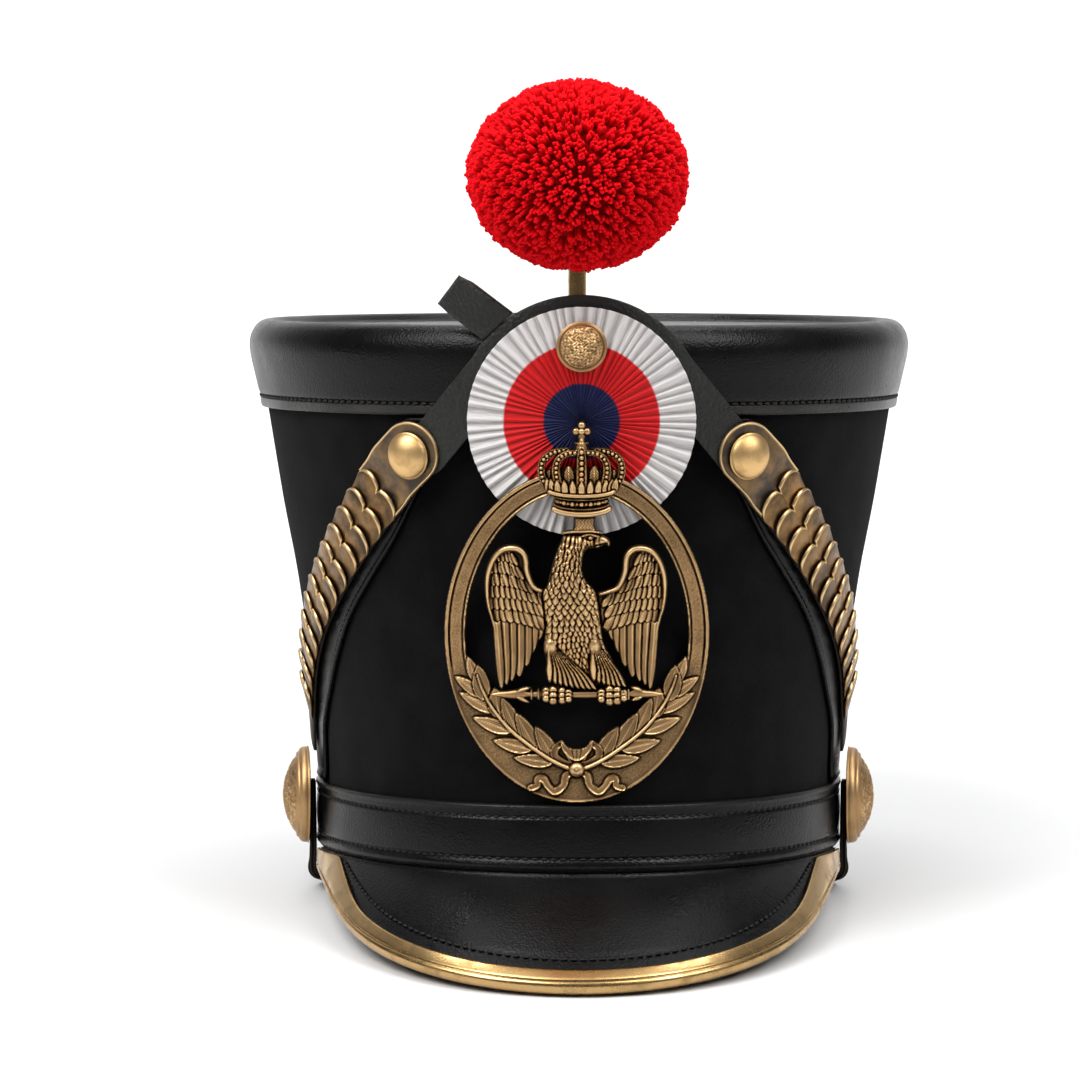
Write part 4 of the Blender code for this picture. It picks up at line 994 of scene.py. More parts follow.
def outward(points):
    """Normal of the hat's side: a step round it crossed with a step up it."""
    angle, height = bearing(points), points[..., 2]
    round_hat = hat(angle + 0.02, height) - hat(angle - 0.02, height)
    up_hat = hat(angle, height + 6.0) - hat(angle, height - 6.0)
    return unit(np.cross(round_hat, up_hat))


def strap_place(run, side):
    """Centre, three directions (rows: across, up, out) and width at runs along the strap."""
    rows = [at_runs(np.clip(run + step, 0.0, strap_runs[-1]), strap_runs, strap_rows)
            for step in (0.0, -1.0, 1.0)]
    centre, above, below = (hat(np.radians(row[..., 0]) * side, row[..., 1]) for row in rows)
    up = unit(above - below)
    across = unit(np.cross(up, outward(centre)))
    return centre, np.stack([across, up, np.cross(across, up)], axis=-2), rows[0][..., 2]


print("strap", round(float(strap_runs[-1]), 1), "mm long")

# %% [markdown]
# ## Strap linings and end plates
#
# The scales are fixed on a strip of leather, which shows as a dark edge beside the brass. At
# the top the strap ends in a round brass plate. Its border is pressed up into a fine rim.

# %% Lining and end plate
LINING_OFFSET = 2.0
LINING_WALL = 1.0
LINING_END = 147.0             # the strip goes on under the rosette
STRAP_BUTTON_RADIUS = 7.0
BACKING_FOOT = 2.5
BACKING_WALL = 2.0
END_PLATE_LENGTH = 20.0
END_PLATE_RADIUS = 10.0


def strip(runs, side, shares, offsets):
    """A closed section, shares of the half width and offsets, carried down the strap."""
    centre, basis, width = strap_place(runs, side)
    beside = centre[:, None, :] + basis[:, None, 0, :] * (shares * width[:, None] / 2)[..., None]
    return dropped(beside, offsets)


def scale_lining(hand, side):
    """A flat strip with rounded edges that follows the strap line."""
    runs = np.linspace(STRAP_BUTTON_RADIUS + 4.0, LINING_END, 60)
    shares = np.array([-0.9, -0.96, -0.96, -0.9, 0.0, 0.9, 0.96, 0.96, 0.9, 0.0])
    top = LINING_OFFSET + LINING_WALL
    offsets = np.array([LINING_OFFSET, LINING_OFFSET + 0.2, top - 0.25, top, top, top, top - 0.25,
                        LINING_OFFSET + 0.2, LINING_OFFSET, LINING_OFFSET])
    shape = skin(strip(runs, side, shares[None, :], offsets[None, :]))
    piece(f"strap_lining_{hand}", shape, LINING, [f"scale_lining_{hand}"])


def end_plate(hand, side):
    """Half circle above the button and straight sides below it; the rim is a raised border."""
    turn = np.linspace(-math.pi / 2 + 0.06, 0, 18)
    straight = np.linspace(1.0, END_PLATE_LENGTH, 22)
    along = np.concatenate([END_PLATE_RADIUS * np.sin(turn), straight])[:, None]
    half = np.concatenate([np.cos(turn), np.ones(len(straight))])[:, None]
    centre, basis, width = strap_place(np.maximum(along[:, 0], 0.0), side)
    drop = ease((along - 8.0) / 8.0)
    low = (BACKING_FOOT + BACKING_WALL + GAP) * (1 - drop) + (LINING_OFFSET + LINING_WALL + GAP) * drop
    face, back = np.sin(np.linspace(-math.pi / 2, math.pi / 2, 45)), np.linspace(0.97, -0.97, 9)
    share = np.concatenate([face, back])[None, :]
    edge = (1 - np.abs(share)) * half * END_PLATE_RADIUS
    round_edge = END_PLATE_RADIUS - np.hypot(along, share * half * END_PLATE_RADIUS)
    edge = np.minimum(edge, np.where(along < 0, round_edge, edge))
    rim = 0.3 * np.exp(-((edge - 0.4) / 0.28) ** 2)
    upper = (np.arange(share.size) < len(face))[None, :]
    rise = np.where(upper, 0.1 + 0.65 * np.sqrt(np.clip(edge / 0.3, 0.0, 1.0)) + rim, 0.0)
    beside = centre[:, None, :] + basis[:, None, 0, :] * (share * half * width[:, None] / 2)[..., None]
    beside -= basis[:, None, 1, :] * np.minimum(along, 0.0)[..., None]
    shape = skin(dropped(beside, low + rise))
    # The attribute "worn" makes the brass paler within about 1 mm of the rim.
    piece(f"end_plate_{hand}", shape, PLATE_BRASS, [f"scale_plate_{hand}"],
          {"worn": ease((0.95 - edge + 0 * half) / 0.4)})


for hand, side in HANDS:
    scale_lining(hand, side)
    end_plate(hand, side)
print("end_plate", pieces["end_plate_left"], "faces each")

# %% [markdown]
# ## Brass scales
#
# Each scale is stamped from sheet in one blow: a flat tail, and two domed lobes with a small
# nick between them. The tail of each is held under the lobes of the next one down, so all
# are tilted by the same angle. A scale is a grid whose columns end on the two arcs.

# %% Scales
SCALE_COUNT = 12
SCALE_WALL = 0.6
SCALE_LENGTH = 13.0
SCALE_TILT = math.radians(8.6)
FIRST_SCALE = 15.5
LAST_SCALE = 112.0
LOBE_SHARE = 0.285             # radius of a lobe as a share of the scale's width
SCALE_BEND = 105.0             # each scale is bent across to lie on the side of the hat
SCALE_CURL = 0.6               # drop of the lobe's rim onto the scale under it
FACE_COLUMNS = 17              # of the closed section, these lie on the face
SCALE_BORDER = (1.5, 1.15, 0.9, 0.7, 0.5, 0.3, 0.12, 0.04, 0.0, 0.04)    # in from the free edge


def scale_grid(width):
    """Closed section at each column across: up the face to the free edge and back below."""
    outer = np.sin(np.linspace(0, math.pi / 2, 20)[3:]) * width / 2
    half_width = np.concatenate([[0.15, 0.32, 0.55, 0.85, 1.25], outer])
    across = np.concatenate([-half_width[::-1], [0.0], half_width])
    lobe = LOBE_SHARE * width
    centre = width / 2 - lobe
    beside = np.clip(np.abs(across) - centre, -lobe, lobe)
    edge = np.sqrt(lobe ** 2 - beside ** 2) - lobe
    edge -= 1.1 * np.exp(-(across / 0.45) ** 2) - 0.5 * np.exp(-((across - 0.6) / 0.3) ** 2)
    edge = edge[:, None]
    border = edge - np.array(SCALE_BORDER)
    tail = -SCALE_LENGTH + (edge - SCALE_BORDER[0] + SCALE_LENGTH) * np.linspace(0, 0.95, 10)
    y = np.concatenate([tail, border, tail[:, ::-2]], axis=1)
    narrow = 0.87 + 0.13 * ease((y + SCALE_LENGTH) / (SCALE_LENGTH - lobe))
    x = across[:, None] * narrow
    round_lobe = 1 - (beside[:, None] / lobe) ** 2 * 0.9
    dome = 0.3 * round_lobe * ease((y + SCALE_LENGTH - 3.0) / 6.0) - x ** 2 / (2 * SCALE_BEND)
    in_lobe = lobe - np.hypot(beside[:, None] + 0 * y, np.maximum(y + lobe, 0.0))
    dome -= SCALE_CURL * (1 - np.clip(in_lobe / 2.6, 0.0, 1.0)) ** 2 * ease((y + SCALE_LENGTH - 2.0) / 5.0)
    bead = 0.2 * np.exp(-((edge - y - 0.5) / 0.35) ** 2)
    upper = np.arange(y.shape[1]) < FACE_COLUMNS
    half = np.where(upper, 0.5, -0.5)
    half[FACE_COLUMNS:FACE_COLUMNS + 3] = 0.36, 0.0, -0.36
    # The attribute "worn" paints the free edge pale: rubbed wear and a painted highlight along the rim.
    worn = ease((1.05 - (edge - y)) / 0.5) + 0 * x
    return np.stack([x, y, dome + half * SCALE_WALL + np.where(upper, bead, 0.0) - 0.2], -1), worn


def scales(hand, side):
    """Every scale is one grid, tilted about its width and set on the strap's frame."""
    sin_tilt, cos_tilt = math.sin(SCALE_TILT), math.cos(SCALE_TILT)
    rise = LINING_OFFSET + LINING_WALL + GAP + SCALE_WALL / 2 + SCALE_LENGTH * sin_tilt
    runs = np.linspace(FIRST_SCALE, LAST_SCALE, SCALE_COUNT) + SCALE_LENGTH / 2
    centres, bases, widths = strap_place(runs, side)
    for index in range(SCALE_COUNT):
        local, worn = scale_grid(widths[index])
        x, y, z = np.moveaxis(local, -1, 0)
        tilted = np.stack([x, y * cos_tilt - z * sin_tilt, y * sin_tilt + z * cos_tilt], -1)
        lifted = tilted + (0.0, SCALE_LENGTH / 2, rise)
        shape = skin(lifted @ bases[index] + centres[index])
        number = f"{index + 1:02d}"
        piece(f"brass_scale_{hand}_{number}", shape, SCALE_BRASS,
              [f"scale_{hand}_{number}"], {"worn": worn})


for hand, side in HANDS:
    scales(hand, side)
print("brass_scale", pieces["brass_scale_left_01"], "faces each")

# %% [markdown]
# ## Domed buttons and rosettes
#
# Buttons and rosettes are struck from thin brass. A profile is carried round an axis, and the
# striking adds relief to it: the cockade's button is pebbled, and each rosette has a ring of
# beads inside a stepped rim. The relief is a height added along the axis.

# %% Struck discs
def hammered(radius, angle, size, depth):
    """Uneven grains: a product of two sines, each bent by a third, size millimetres apart."""
    x, y = radius * np.cos(angle) / size, radius * np.sin(angle) / size
    first = np.sin(2.9 * x + 1.9 * np.sin(2.3 * y + 0.7))
    return depth * first * np.sin(3.1 * y + 1.7 * np.sin(2.1 * x + 1.1))


def struck_disc(name, profile, place, finish, replaces, relief=None, turns=72):
    """Profile of (radius, height) round an axis; relief(radius, angle) adds to the height."""
    profile = smooth_rows(profile, 9 if relief else 4)
    angle = full_turn(turns)
    radius, height = profile[:, :1], profile[:, 1:]
    added = relief(radius, angle) if relief else 0.0
    local = turned(radius, height + added, angle)
    centre, basis = place
    # The relief also sets the tone: pits darker with patina and painted shade, bumps brighter.
    raised = 0.56 + 0.9 * np.broadcast_to(added, local.shape[:2])
    shape = skin(local @ basis + centre)
    piece(name, shape, finish, replaces, {"raised": raised})


def axis_place(centre, out):
    """Centre with three directions, the last one outward, for turned shapes."""
    out = unit(np.asarray(out, dtype=float))
    side = unit(np.cross([0.0, 0.0, 1.0], out))
    return np.asarray(centre), np.stack([side, np.cross(out, side), out])


STRAP_BUTTON = ((0.2, 4), (2.5, 3.7), (4.5, 3), (5.9, 2.1), (6.7, 1.3), (7, 0.7), (7, 0.1), (0.3, 0))
BUTTON_SEAT = BACKING_FOOT + BACKING_WALL + GAP + 0.8 + GAP + 0.1


def strap_button(hand, side):
    """A plain dome on the end plate."""
    centre, basis, _ = strap_place(0.0, side)
    struck_disc(f"domed_button_{hand}", STRAP_BUTTON, (centre + basis[2] * BUTTON_SEAT, basis),
                BUTTON_BRASS, [f"scale_button_{hand}"])


ROSETTE_ANGLE = math.radians(84.0)
ROSETTE_HEIGHT = 16.2
CHIN_STRAP_WALL = 2.0
ROSETTE = (
    # radius, height
    (0.2, 8.2), (1.6, 8.15), (3.2, 8), (5, 7.7), (6.8, 7.2), (8.5, 6.5), (10.2, 5.7), (11.6, 4.9),
    (12.4, 4.3), (12.8, 3.9), (13.1, 4.1), (13.7, 4), (14.1, 3.3), (14.5, 3.2), (15.2, 2.7), (15.6, 1.8),
    (15.6, 0.8), (15.3, 0), (8, 0), (0.3, 0),
)


def rosette_relief(radius, angle):
    """Fine uneven striking on the dome, fading out before the channel inside the rim."""
    fine = hammered(radius, angle, 0.8, 0.26) + hammered(radius, angle + 0.4, 1.7, 0.16)
    return fine * ease((12.3 - radius) / 0.8)


def rosette(hand, side):
    """A stepped disc at the side of the band, over the chin strap's end."""
    seat = GAP + BAND_WALL + GAP + CHIN_STRAP_WALL + GAP
    centre = hat(side * ROSETTE_ANGLE, ROSETTE_HEIGHT, seat)
    out = centre - hat(side * ROSETTE_ANGLE, ROSETTE_HEIGHT, 0.0)
    struck_disc(f"brass_rosette_{hand}", ROSETTE, axis_place(centre, out), CAST_BRASS,
                [f"rosette_{hand}"], rosette_relief, turns=112)


for hand, side in HANDS:
    strap_button(hand, side)
    rosette(hand, side)
print("brass_rosette", pieces["brass_rosette_left"], "faces each")

# %% [markdown]
# ## Leather behind the cockade
#
# A round leather backing carries the cockade, and two short straps run down from it to the
# buttons. Its outline is a reach for every angle: the disc's radius, or further where a
# strap crosses. Rings of points shrink from that outline to the middle, front and back.

# %% Backing
COCKADE_X = 0.9
COCKADE_HEIGHT = 142.0
COCKADE_RADIUS = 35.5
COCKADE_SEAT = 6.4
COCKADE_WALL = 1.0
BACKING_RADIUS = 39.2
BACKING_HIDDEN = 34.5          # its lower half stays behind the ribbon
BACKING_FACE = 3.3
BACKING_STEPS = 240
CUT_EDGE = 0.4                 # how much of the raw fibre a cut edge shows
CROSS_STRAP_WIDTH = 14.6
CROSS_STRAP_LENGTH = 36.0
CROSS_STRAP_HEADING = math.radians(51.0)
CROSS_STRAP_END = np.array([49.6 - COCKADE_X, 131.8 - COCKADE_HEIGHT])


def disc_reach(angle):
    """Radius of the round backing; below the straps it stays behind the ribbon."""
    return BACKING_HIDDEN + (BACKING_RADIUS - BACKING_HIDDEN) * ease((np.sin(angle) + 0.1) / 0.12)


def strap_reach(angle, heading):
    """Reach of a strap with round ends from its own middle, at each angle."""
    along, beside = np.abs(np.cos(angle - heading)), np.abs(np.sin(angle - heading))
    radius, half = CROSS_STRAP_WIDTH / 2, CROSS_STRAP_LENGTH / 2
    on_side = radius * along <= half * beside
    end = half * along + np.sqrt(np.maximum(radius ** 2 - (half * beside) ** 2, 0.0))
    return np.where(on_side, radius / np.maximum(beside, 1e-6), end)


def laid_disc(angle, reach, shares, offsets, middle=(0.0, 0.0)):
    """Rings on the front of the hat at shares of the reach, with an offset for each point."""
    x = COCKADE_X + middle[0] + shares[:, None] * reach * np.cos(angle)
    height = COCKADE_HEIGHT + middle[1] + shares[:, None] * reach * np.sin(angle)
    return front(x, height, offsets)


def backing_part(reach, middle, sunk):
    """One closed leather shape: rings shrink to its middle on the face and on the back."""
    angle = full_turn(len(reach))
    shares = np.array([0.1, 0.4, 0.7, 0.9, 0.97, 0.985, 0.996, 1.0, 1.0, 0.996, 0.985, 0.96, 0.9, 0.5, 0.1])
    raised = np.array([1.0, 1.0, 1.0, 1.0, 1.0, 0.99, 0.93, 0.8, 0.5, 0.2, 0.05, 0.0, 0.0, 0.0, 0.0])
    x = np.abs(shares[:, None] * reach * np.cos(angle) + COCKADE_X + middle[0])
    height = COCKADE_HEIGHT + middle[1] + shares[:, None] * reach * np.sin(angle)
    lifted = np.maximum(ease((height - 139.5) / 9.0), ease((40.0 - x) / 8.0))
    foot = BACKING_FOOT + (BACKING_FACE - BACKING_FOOT) * lifted
    level = foot + raised[:, None] * (BACKING_WALL - sunk)
    on_rim = ((raised > 0.45) & (shares > 0.99))[:, None]
    cut = CUT_EDGE * on_rim * np.where(sunk > 0, 1.0, np.sin(angle) > 0.6)
    return *skin(laid_disc(angle, reach, shares, level, middle)), cut.ravel()


def cockade_backing():
    """The round disc and, on each side, a strap that leans out to the button."""
    angle = full_turn(BACKING_STEPS)
    parts = [backing_part(disc_reach(angle), (0.0, 0.0), 0.0)]
    for side in (-1, 1):
        away = np.array([-math.cos(CROSS_STRAP_HEADING), math.sin(CROSS_STRAP_HEADING)])
        middle = CROSS_STRAP_END + CROSS_STRAP_LENGTH / 2 * away
        heading = math.pi / 2 + side * (math.pi / 2 - CROSS_STRAP_HEADING)
        parts.append(backing_part(strap_reach(angle, heading), middle * (side, 1), 0.12))
    shape = joined([part[:2] for part in parts])
    cut = np.concatenate([part[2] for part in parts])
    piece("backing_leather", shape, PEBBLED, ["cockade_backing"], {"edge": cut})


cockade_backing()
print("backing_leather", pieces["backing_leather"], "faces")

# %% [markdown]
# The tab at the upper left is a strap end folded double, so it is two layers thick with a
# round fold at the outer end. Its section follows both layers and the slit between them.

# %% Leather tab
LOOP_FOOT = np.array([-26.1, 171.9])
LOOP_WIDTH = 11.2
LOOP_HEADING = math.radians(37.0)
LOOP_LENGTH = 18.0
LOOP_TWIST = 1.5               # its upper edge stands this much further forward than its middle
LOOP_SLIP = 1.3                # the rear layer stands this much above the front one
LOOP_SHEAR = 1.1               # the foot follows the edge of the disc


def strap_loop():
    """A closed section of two layers, carried along the tab, laid on the hat's front."""
    along = np.array([-math.cos(LOOP_HEADING), math.sin(LOOP_HEADING)])
    across = np.array([along[1], -along[0]])
    run = np.linspace(0, LOOP_LENGTH, 26)
    end = np.clip((LOOP_LENGTH - run) / 1.4, 0, 1)
    bulge = np.sqrt(1 - (1 - end) ** 2)
    share = np.concatenate([np.linspace(-1, 1, 13), [1.01, 0.88, 1.01], np.linspace(1, -1, 13),
                            [-1.01, -0.88, -1.01]])
    level = np.concatenate([np.full(13, 1.0), [0.72, 0.5, 0.28], np.zeros(13), [0.28, 0.5, 0.72]])
    crown = 0.12 * np.cos(share * math.pi / 2)
    middle = 1.1 + 0.35 * ease(run / 12)
    half = (1.0 + 0.5 * ease(run / 10)) * (0.15 + 0.85 * bulge)
    rise = middle[:, None] + half[:, None] * ((level - 0.5) * 2 + np.where(level > 0.5, crown, -crown))
    rise = rise + LOOP_TWIST * share * ease(run / 9)[:, None]
    slip = LOOP_SLIP * ease((LOOP_LENGTH - run) / 5)[:, None] * (0.7 - level)
    reach = run[:, None] - LOOP_SHEAR * (1 + share) * (1 - run / LOOP_LENGTH)[:, None]
    aside = share * LOOP_WIDTH / 2 + slip
    spot = LOOP_FOOT + reach[..., None] * along + aside[..., None] * across
    shape = skin(front(spot[..., 0], spot[..., 1], BACKING_FACE + rise))
    cut = np.where(np.abs(share) > 0.95, 0.45, 0.0) + 0 * rise
    piece("folded_tab", shape, PEBBLED, ["strap_loop"], {"edge": cut})


strap_loop()
print("folded_tab", pieces["folded_tab"], "faces")

# %% [markdown]
# ## Cockade
#
# A cockade is one long ribbon pleated like a fan and joined into a circle. The folds are
# sharp and almost close up in the middle, so their depth grows with the radius. Pleats made
# by hand differ a little, so a slow wave shifts each fold by part of its width.

# %% Pleated cockade
PLEATS = 66
STEPS_PER_PLEAT = 12
FOLD_LEAN = 0.7                # share of each pleat that rises; the rest falls back steeply


def cockade():
    """Height = seat + depth(radius) * triangle wave(angle), with an uneven phase."""
    count = PLEATS * STEPS_PER_PLEAT
    angle = full_turn(count)
    uneven = angle * PLEATS + 1.3 * np.sin(angle * 7) + 1.1 * np.sin(angle * 17 + 1.3)
    phase = uneven / (2 * math.pi) % 1.0
    fold = 2 * np.minimum(phase / FOLD_LEAN, (1 - phase) / (1 - FOLD_LEAN)) - 1
    share = np.concatenate([np.linspace(0.03, 0.985, 18), [1.0]])
    depth = (0.1 + 0.36 * share ** 0.8)[:, None]
    dish = 0.35 * (1 - ease(share / 0.35))[:, None]
    middle = COCKADE_SEAT + depth * fold - dish
    edge = 1 + 0.0015 * fold
    front_face = middle + COCKADE_WALL * 0.55
    back_face = middle - COCKADE_WALL * 0.05
    rings = np.concatenate([front_face, back_face[::-3]])
    shares = np.concatenate([share, share[::-3]])
    points = laid_disc(angle, COCKADE_RADIUS * edge, shares, rings)
    radius = shares[:, None] * COCKADE_RADIUS * np.ones(count)
    shape = skin(points)
    # The attribute "fold" also feeds the ribbon's painted shade in the pleats' valleys.
    piece("pleated_cockade", shape, RIBBON, ["cockade"],
          {"radius": radius, "turn": angle + 0 * radius, "fold": fold + 0 * radius})


cockade()
print("pleated_cockade", pieces["pleated_cockade"], "faces")

# %% Pebbled button on the cockade
COCKADE_BUTTON_HEIGHT = 165.3
COCKADE_BUTTON = (
    # radius, height
    (0.2, 4.2), (1.2, 4.15), (2.4, 3.95), (3.6, 3.55), (4.8, 2.95), (5.8, 2.25), (6.5, 1.45), (6.8, 0.95),
    (7, 1.1), (7.25, 1), (7.4, 0.6), (7.3, 0.1), (0.3, 0),
)


def pebbles(radius, angle):
    """Hammered grains of about a millimetre all over the dome, up to the rim."""
    grains = hammered(radius, angle, 0.95, 0.3) + hammered(radius, angle + 0.9, 1.9, 0.14)
    return grains * ease((6.7 - radius) / 0.4)


def cockade_button():
    """A hammered dome near the cockade's top."""
    seat = COCKADE_SEAT + COCKADE_WALL + 0.5 + GAP
    centre = front(COCKADE_X, COCKADE_BUTTON_HEIGHT, seat)
    struck_disc("pebbled_button", COCKADE_BUTTON, axis_place(centre, outward(centre)), CAST_BRASS,
                ["cockade_button"], pebbles, turns=110)


cockade_button()
print("pebbled_button", pieces["pebbled_button"], "faces")

# %% [markdown]
# ## Pompom
#
# A pompom is a bundle of yarn tied in the middle and clipped round. Its yarn keeps together in
# locks, here of four thin strands with blunt, slightly swollen tips. The locks start on a
# Fibonacci spiral, which spreads points evenly over a ball, and a seeded jitter shifts and
# shortens them and bends every strand. All strands and the core under them are one mesh.

# %% Yarn strands
POMPOM_X = -0.5
POMPOM_HEIGHT = 218.0
POMPOM_WIDTH = 70.0
POMPOM_TALL = 60.5
LOCKS = 1500
STRANDS_PER_LOCK = 4
STRAND_SIDES = 4
STRAND_SHAPE = (
    # share of the length, radius in mm
    (0, 0.48), (0.55, 0.66), (0.94, 0.72), (1, 0.44),
)
LOCK_SPREAD = 0.7              # a tip's distance from the middle of its lock
ROOT_SHARE = 0.6               # a strand starts this far out from the middle
CORE_SHARE = 0.87
RIM_HEIGHT = 172.0
STEM_RADIUS = 2.8
STEM_IN_POMPOM = 13.0


def stem_foot():
    """Middle of the stem's foot, close behind the backing on the top's rim."""
    spot = front(0.0, RIM_HEIGHT + GAP, BACKING_FACE - GAP - STEM_RADIUS)
    return np.array([POMPOM_X, spot[1], RIM_HEIGHT + GAP + 0.2])


def pompom():
    """Locks on a Fibonacci spiral, a few strands to a lock, and a plain core inside."""
    seeded = np.random.default_rng(7)
    strands = LOCKS * STRANDS_PER_LOCK
    number = np.arange(LOCKS) + 0.5
    level = 1 - 2 * number / LOCKS
    turn = math.pi * (1 + math.sqrt(5)) * number
    flat = np.sqrt(1 - level ** 2)
    way = np.stack([flat * np.cos(turn), flat * np.sin(turn), level], -1)
    way = unit(way + seeded.normal(0, 0.016, way.shape))
    reach = seeded.uniform(0.955, 0.99, (LOCKS, 1))
    way, reach = np.repeat(way, STRANDS_PER_LOCK, axis=0), np.repeat(reach, STRANDS_PER_LOCK, axis=0)
    half = np.array([POMPOM_WIDTH, POMPOM_WIDTH, POMPOM_TALL]) / 2
    centre = np.array([POMPOM_X, stem_foot()[1], POMPOM_HEIGHT])
    side = unit(np.cross(way, [0.31, 0.2, 0.93]))
    other = np.cross(way, side)
    spin = (2 * math.pi * np.arange(strands) / STRANDS_PER_LOCK + seeded.normal(0, 0.4, strands))[:, None]
    apart = side * np.cos(spin) + other * np.sin(spin)
    tip = way * half * (reach + seeded.uniform(0, 0.01, reach.shape)) + LOCK_SPREAD * apart
    root = way * half * ROOT_SHARE + 0.5 * apart
    bow = seeded.normal(0, 0.22, way.shape)
    share, girth = np.array(STRAND_SHAPE).T
    share = share[None, :, None]
    line = root[:, None, :] + (tip - root)[:, None, :] * share
    line += bow[:, None, :] * np.sin(math.pi * share * 0.8)
    girth = girth * seeded.uniform(0.88, 1.08, (strands, 1))
    around = full_turn(STRAND_SIDES)
    ring = side[:, None, :] * np.cos(around)[:, None] + other[:, None, :] * np.sin(around)[:, None]
    points = line[:, :, None, :] + ring[:, None, :, :] * girth[:, :, None, None]
    quads = grid_faces(len(STRAND_SHAPE), STRAND_SIDES, False, True)
    if inside_out(points[0].reshape(-1, 3), quads):
        quads = quads[:, ::-1]
    one = len(STRAND_SHAPE) * STRAND_SIDES
    faces = (quads[None] + one * np.arange(strands)[:, None, None]).reshape(-1, 4)
    top = np.arange(STRAND_SIDES) + one - STRAND_SIDES
    ends = np.vstack([top, top[::-1] - top[0]])
    ends = (ends[None] + one * np.arange(strands)[:, None, None]).reshape(-1, STRAND_SIDES)
    # Painted shade: the red darkens toward each strand's root and on the core under the strands.
    bright = share[..., 0] ** 1.5 * seeded.uniform(0.75, 1.0, (strands, 1))
    bright = np.repeat(bright[..., None], STRAND_SIDES, axis=2)
    core_rise = np.linspace(-0.96, 0.96, 14)[:, None]
    core = turned(np.sqrt(1 - core_rise ** 2), core_rise, full_turn(32))
    core_points, core_faces = skin(core * half * CORE_SHARE)
    start = strands * one
    faces = faces.tolist() + ends.tolist() + [[corner + start for corner in face] for face in core_faces]
    points = np.vstack([points.reshape(-1, 3), core_points]) + centre
    tips_value = np.concatenate([bright.ravel(), np.zeros(len(core_points))])
    piece("yarn_pompom", (points, faces), YARN, ["pompom"], {"tip": tips_value})


pompom()
print("yarn_pompom", pieces["yarn_pompom"], "faces")

# %% Stem
def stem():
    """Rod with a small turned collar at its foot, up into the pompom's socket."""
    foot = stem_foot()
    top = POMPOM_HEIGHT - POMPOM_TALL / 2 + STEM_IN_POMPOM - foot[2]
    profile = np.array([(0.0, 2.7), (0.0, 3.2), (0.5, 3.4), (1.2, 3.2), (1.5, STEM_RADIUS),
                        (top, STEM_RADIUS), (top, 2.3)])
    rings = turned(profile[:, 1:], profile[:, :1], full_turn(36))
    shape = skin(rings + foot)
    piece("brass_stem", shape, TRIM_BRASS, ["pompom_stem"], flat_angle=50)


stem()
print("brass_stem", pieces["brass_stem"], "faces")

# %% [markdown]
# ## Chin strap
#
# A narrow leather strap hangs from behind one rosette to behind the other. With the hat at
# rest it lies in one loop on the surface, under the hollow. A section of eight points is
# carried along a smooth path, and it turns from upright at the band to flat on the ground.

# %% Chin strap
CHIN_STRAP_WIDTH = 9.0
CHIN_STRAP_TOP = 21.0
CHIN_STRAP_CORNER = 0.35
CHIN_STRAP_RUN = ((86.6, -8, 7), (82.5, -3, 2.6))
CHIN_STRAP_FLOOR = ((75, 7), (64, 23), (50, 41), (33, 55), (15, 63), (0, 65.5))


def surface_height(y):
    """Height of the ground in the upright frame: it passes the visor's lip at the lean."""
    lip = visor_lip()
    return lip[2] + (y - lip[1]) * math.tan(LEAN)


def chin_strap():
    """Eight points, a rectangle's with its corners crossed, along one half and its mirror."""
    under = GAP + BAND_WALL + GAP + CHIN_STRAP_WALL / 2
    right = [hat(ROSETTE_ANGLE, height, under) for height in (CHIN_STRAP_TOP, 8.0, 0.0)]
    right += [np.array([x, y, surface_height(y) + rise]) for x, y, rise in CHIN_STRAP_RUN]
    middle = CHIN_STRAP_WALL / 2 / math.cos(LEAN) + 0.05
    right += [np.array([x, y, surface_height(y) + middle]) for x, y in CHIN_STRAP_FLOOR]
    half = smooth_rows(right, 8)
    path = np.vstack([half, (half * (-1, 1, 1))[-2::-1]])
    way = unit(np.gradient(path, axis=0))
    flat = ease((surface_height(path[:, 1]) + 11.0 - path[:, 2]) / 9.0)[:, None]
    wide, deep = oval(0.0)
    out = unit(path * (1 / wide ** 2, 1 / deep ** 2, 0.0))
    ground = np.array([0.0, -math.sin(LEAN), math.cos(LEAN)])
    facing = out * (1 - flat) - ground * flat
    across = unit(np.cross(way, facing))
    facing = np.cross(across, way)
    side, face = CHIN_STRAP_WIDTH / 2, CHIN_STRAP_WALL / 2
    side_in, face_in = side - CHIN_STRAP_CORNER, face - CHIN_STRAP_CORNER
    section = np.array([(-side_in, -face), (-side, -face_in), (side, -face_in), (side_in, -face),
                        (side_in, face), (side, face_in), (-side, face_in), (-side_in, face)])
    points = path[:, None, :] + across[:, None, :] * section[:, :1] + facing[:, None, :] * section[:, 1:]
    shape = skin(points)
    piece("chin_strap_leather", shape, LINING, ["chin_strap"])
    print("chin strap", round(float(run_along(path)[-1])), "mm from end to end")


chin_strap()

# %% [markdown]
# ## Cast plate as height fields
#
# The plate is low relief, so grids of heights can hold all of it. A sheet keeps two maps:
# `metal` says how far a point lies inside the metal, in millimetres, and `rise` how high the
# face stands over the flat back. Forms are laid on a sheet one after another. A form either
# wins where it is higher, or covers what is below it and presses a groove round itself.

# %% Sheet
def near_line(spot, rows):
    """Distance from each spot to every stretch of a line, and the share along the stretch."""
    start, step = rows[:-1], np.diff(rows, axis=0)
    share = np.clip(((spot - start) * step).sum(-1) / (step ** 2).sum(-1), 0, 1)
    return np.linalg.norm(spot - start - share[..., None] * step, axis=-1), share


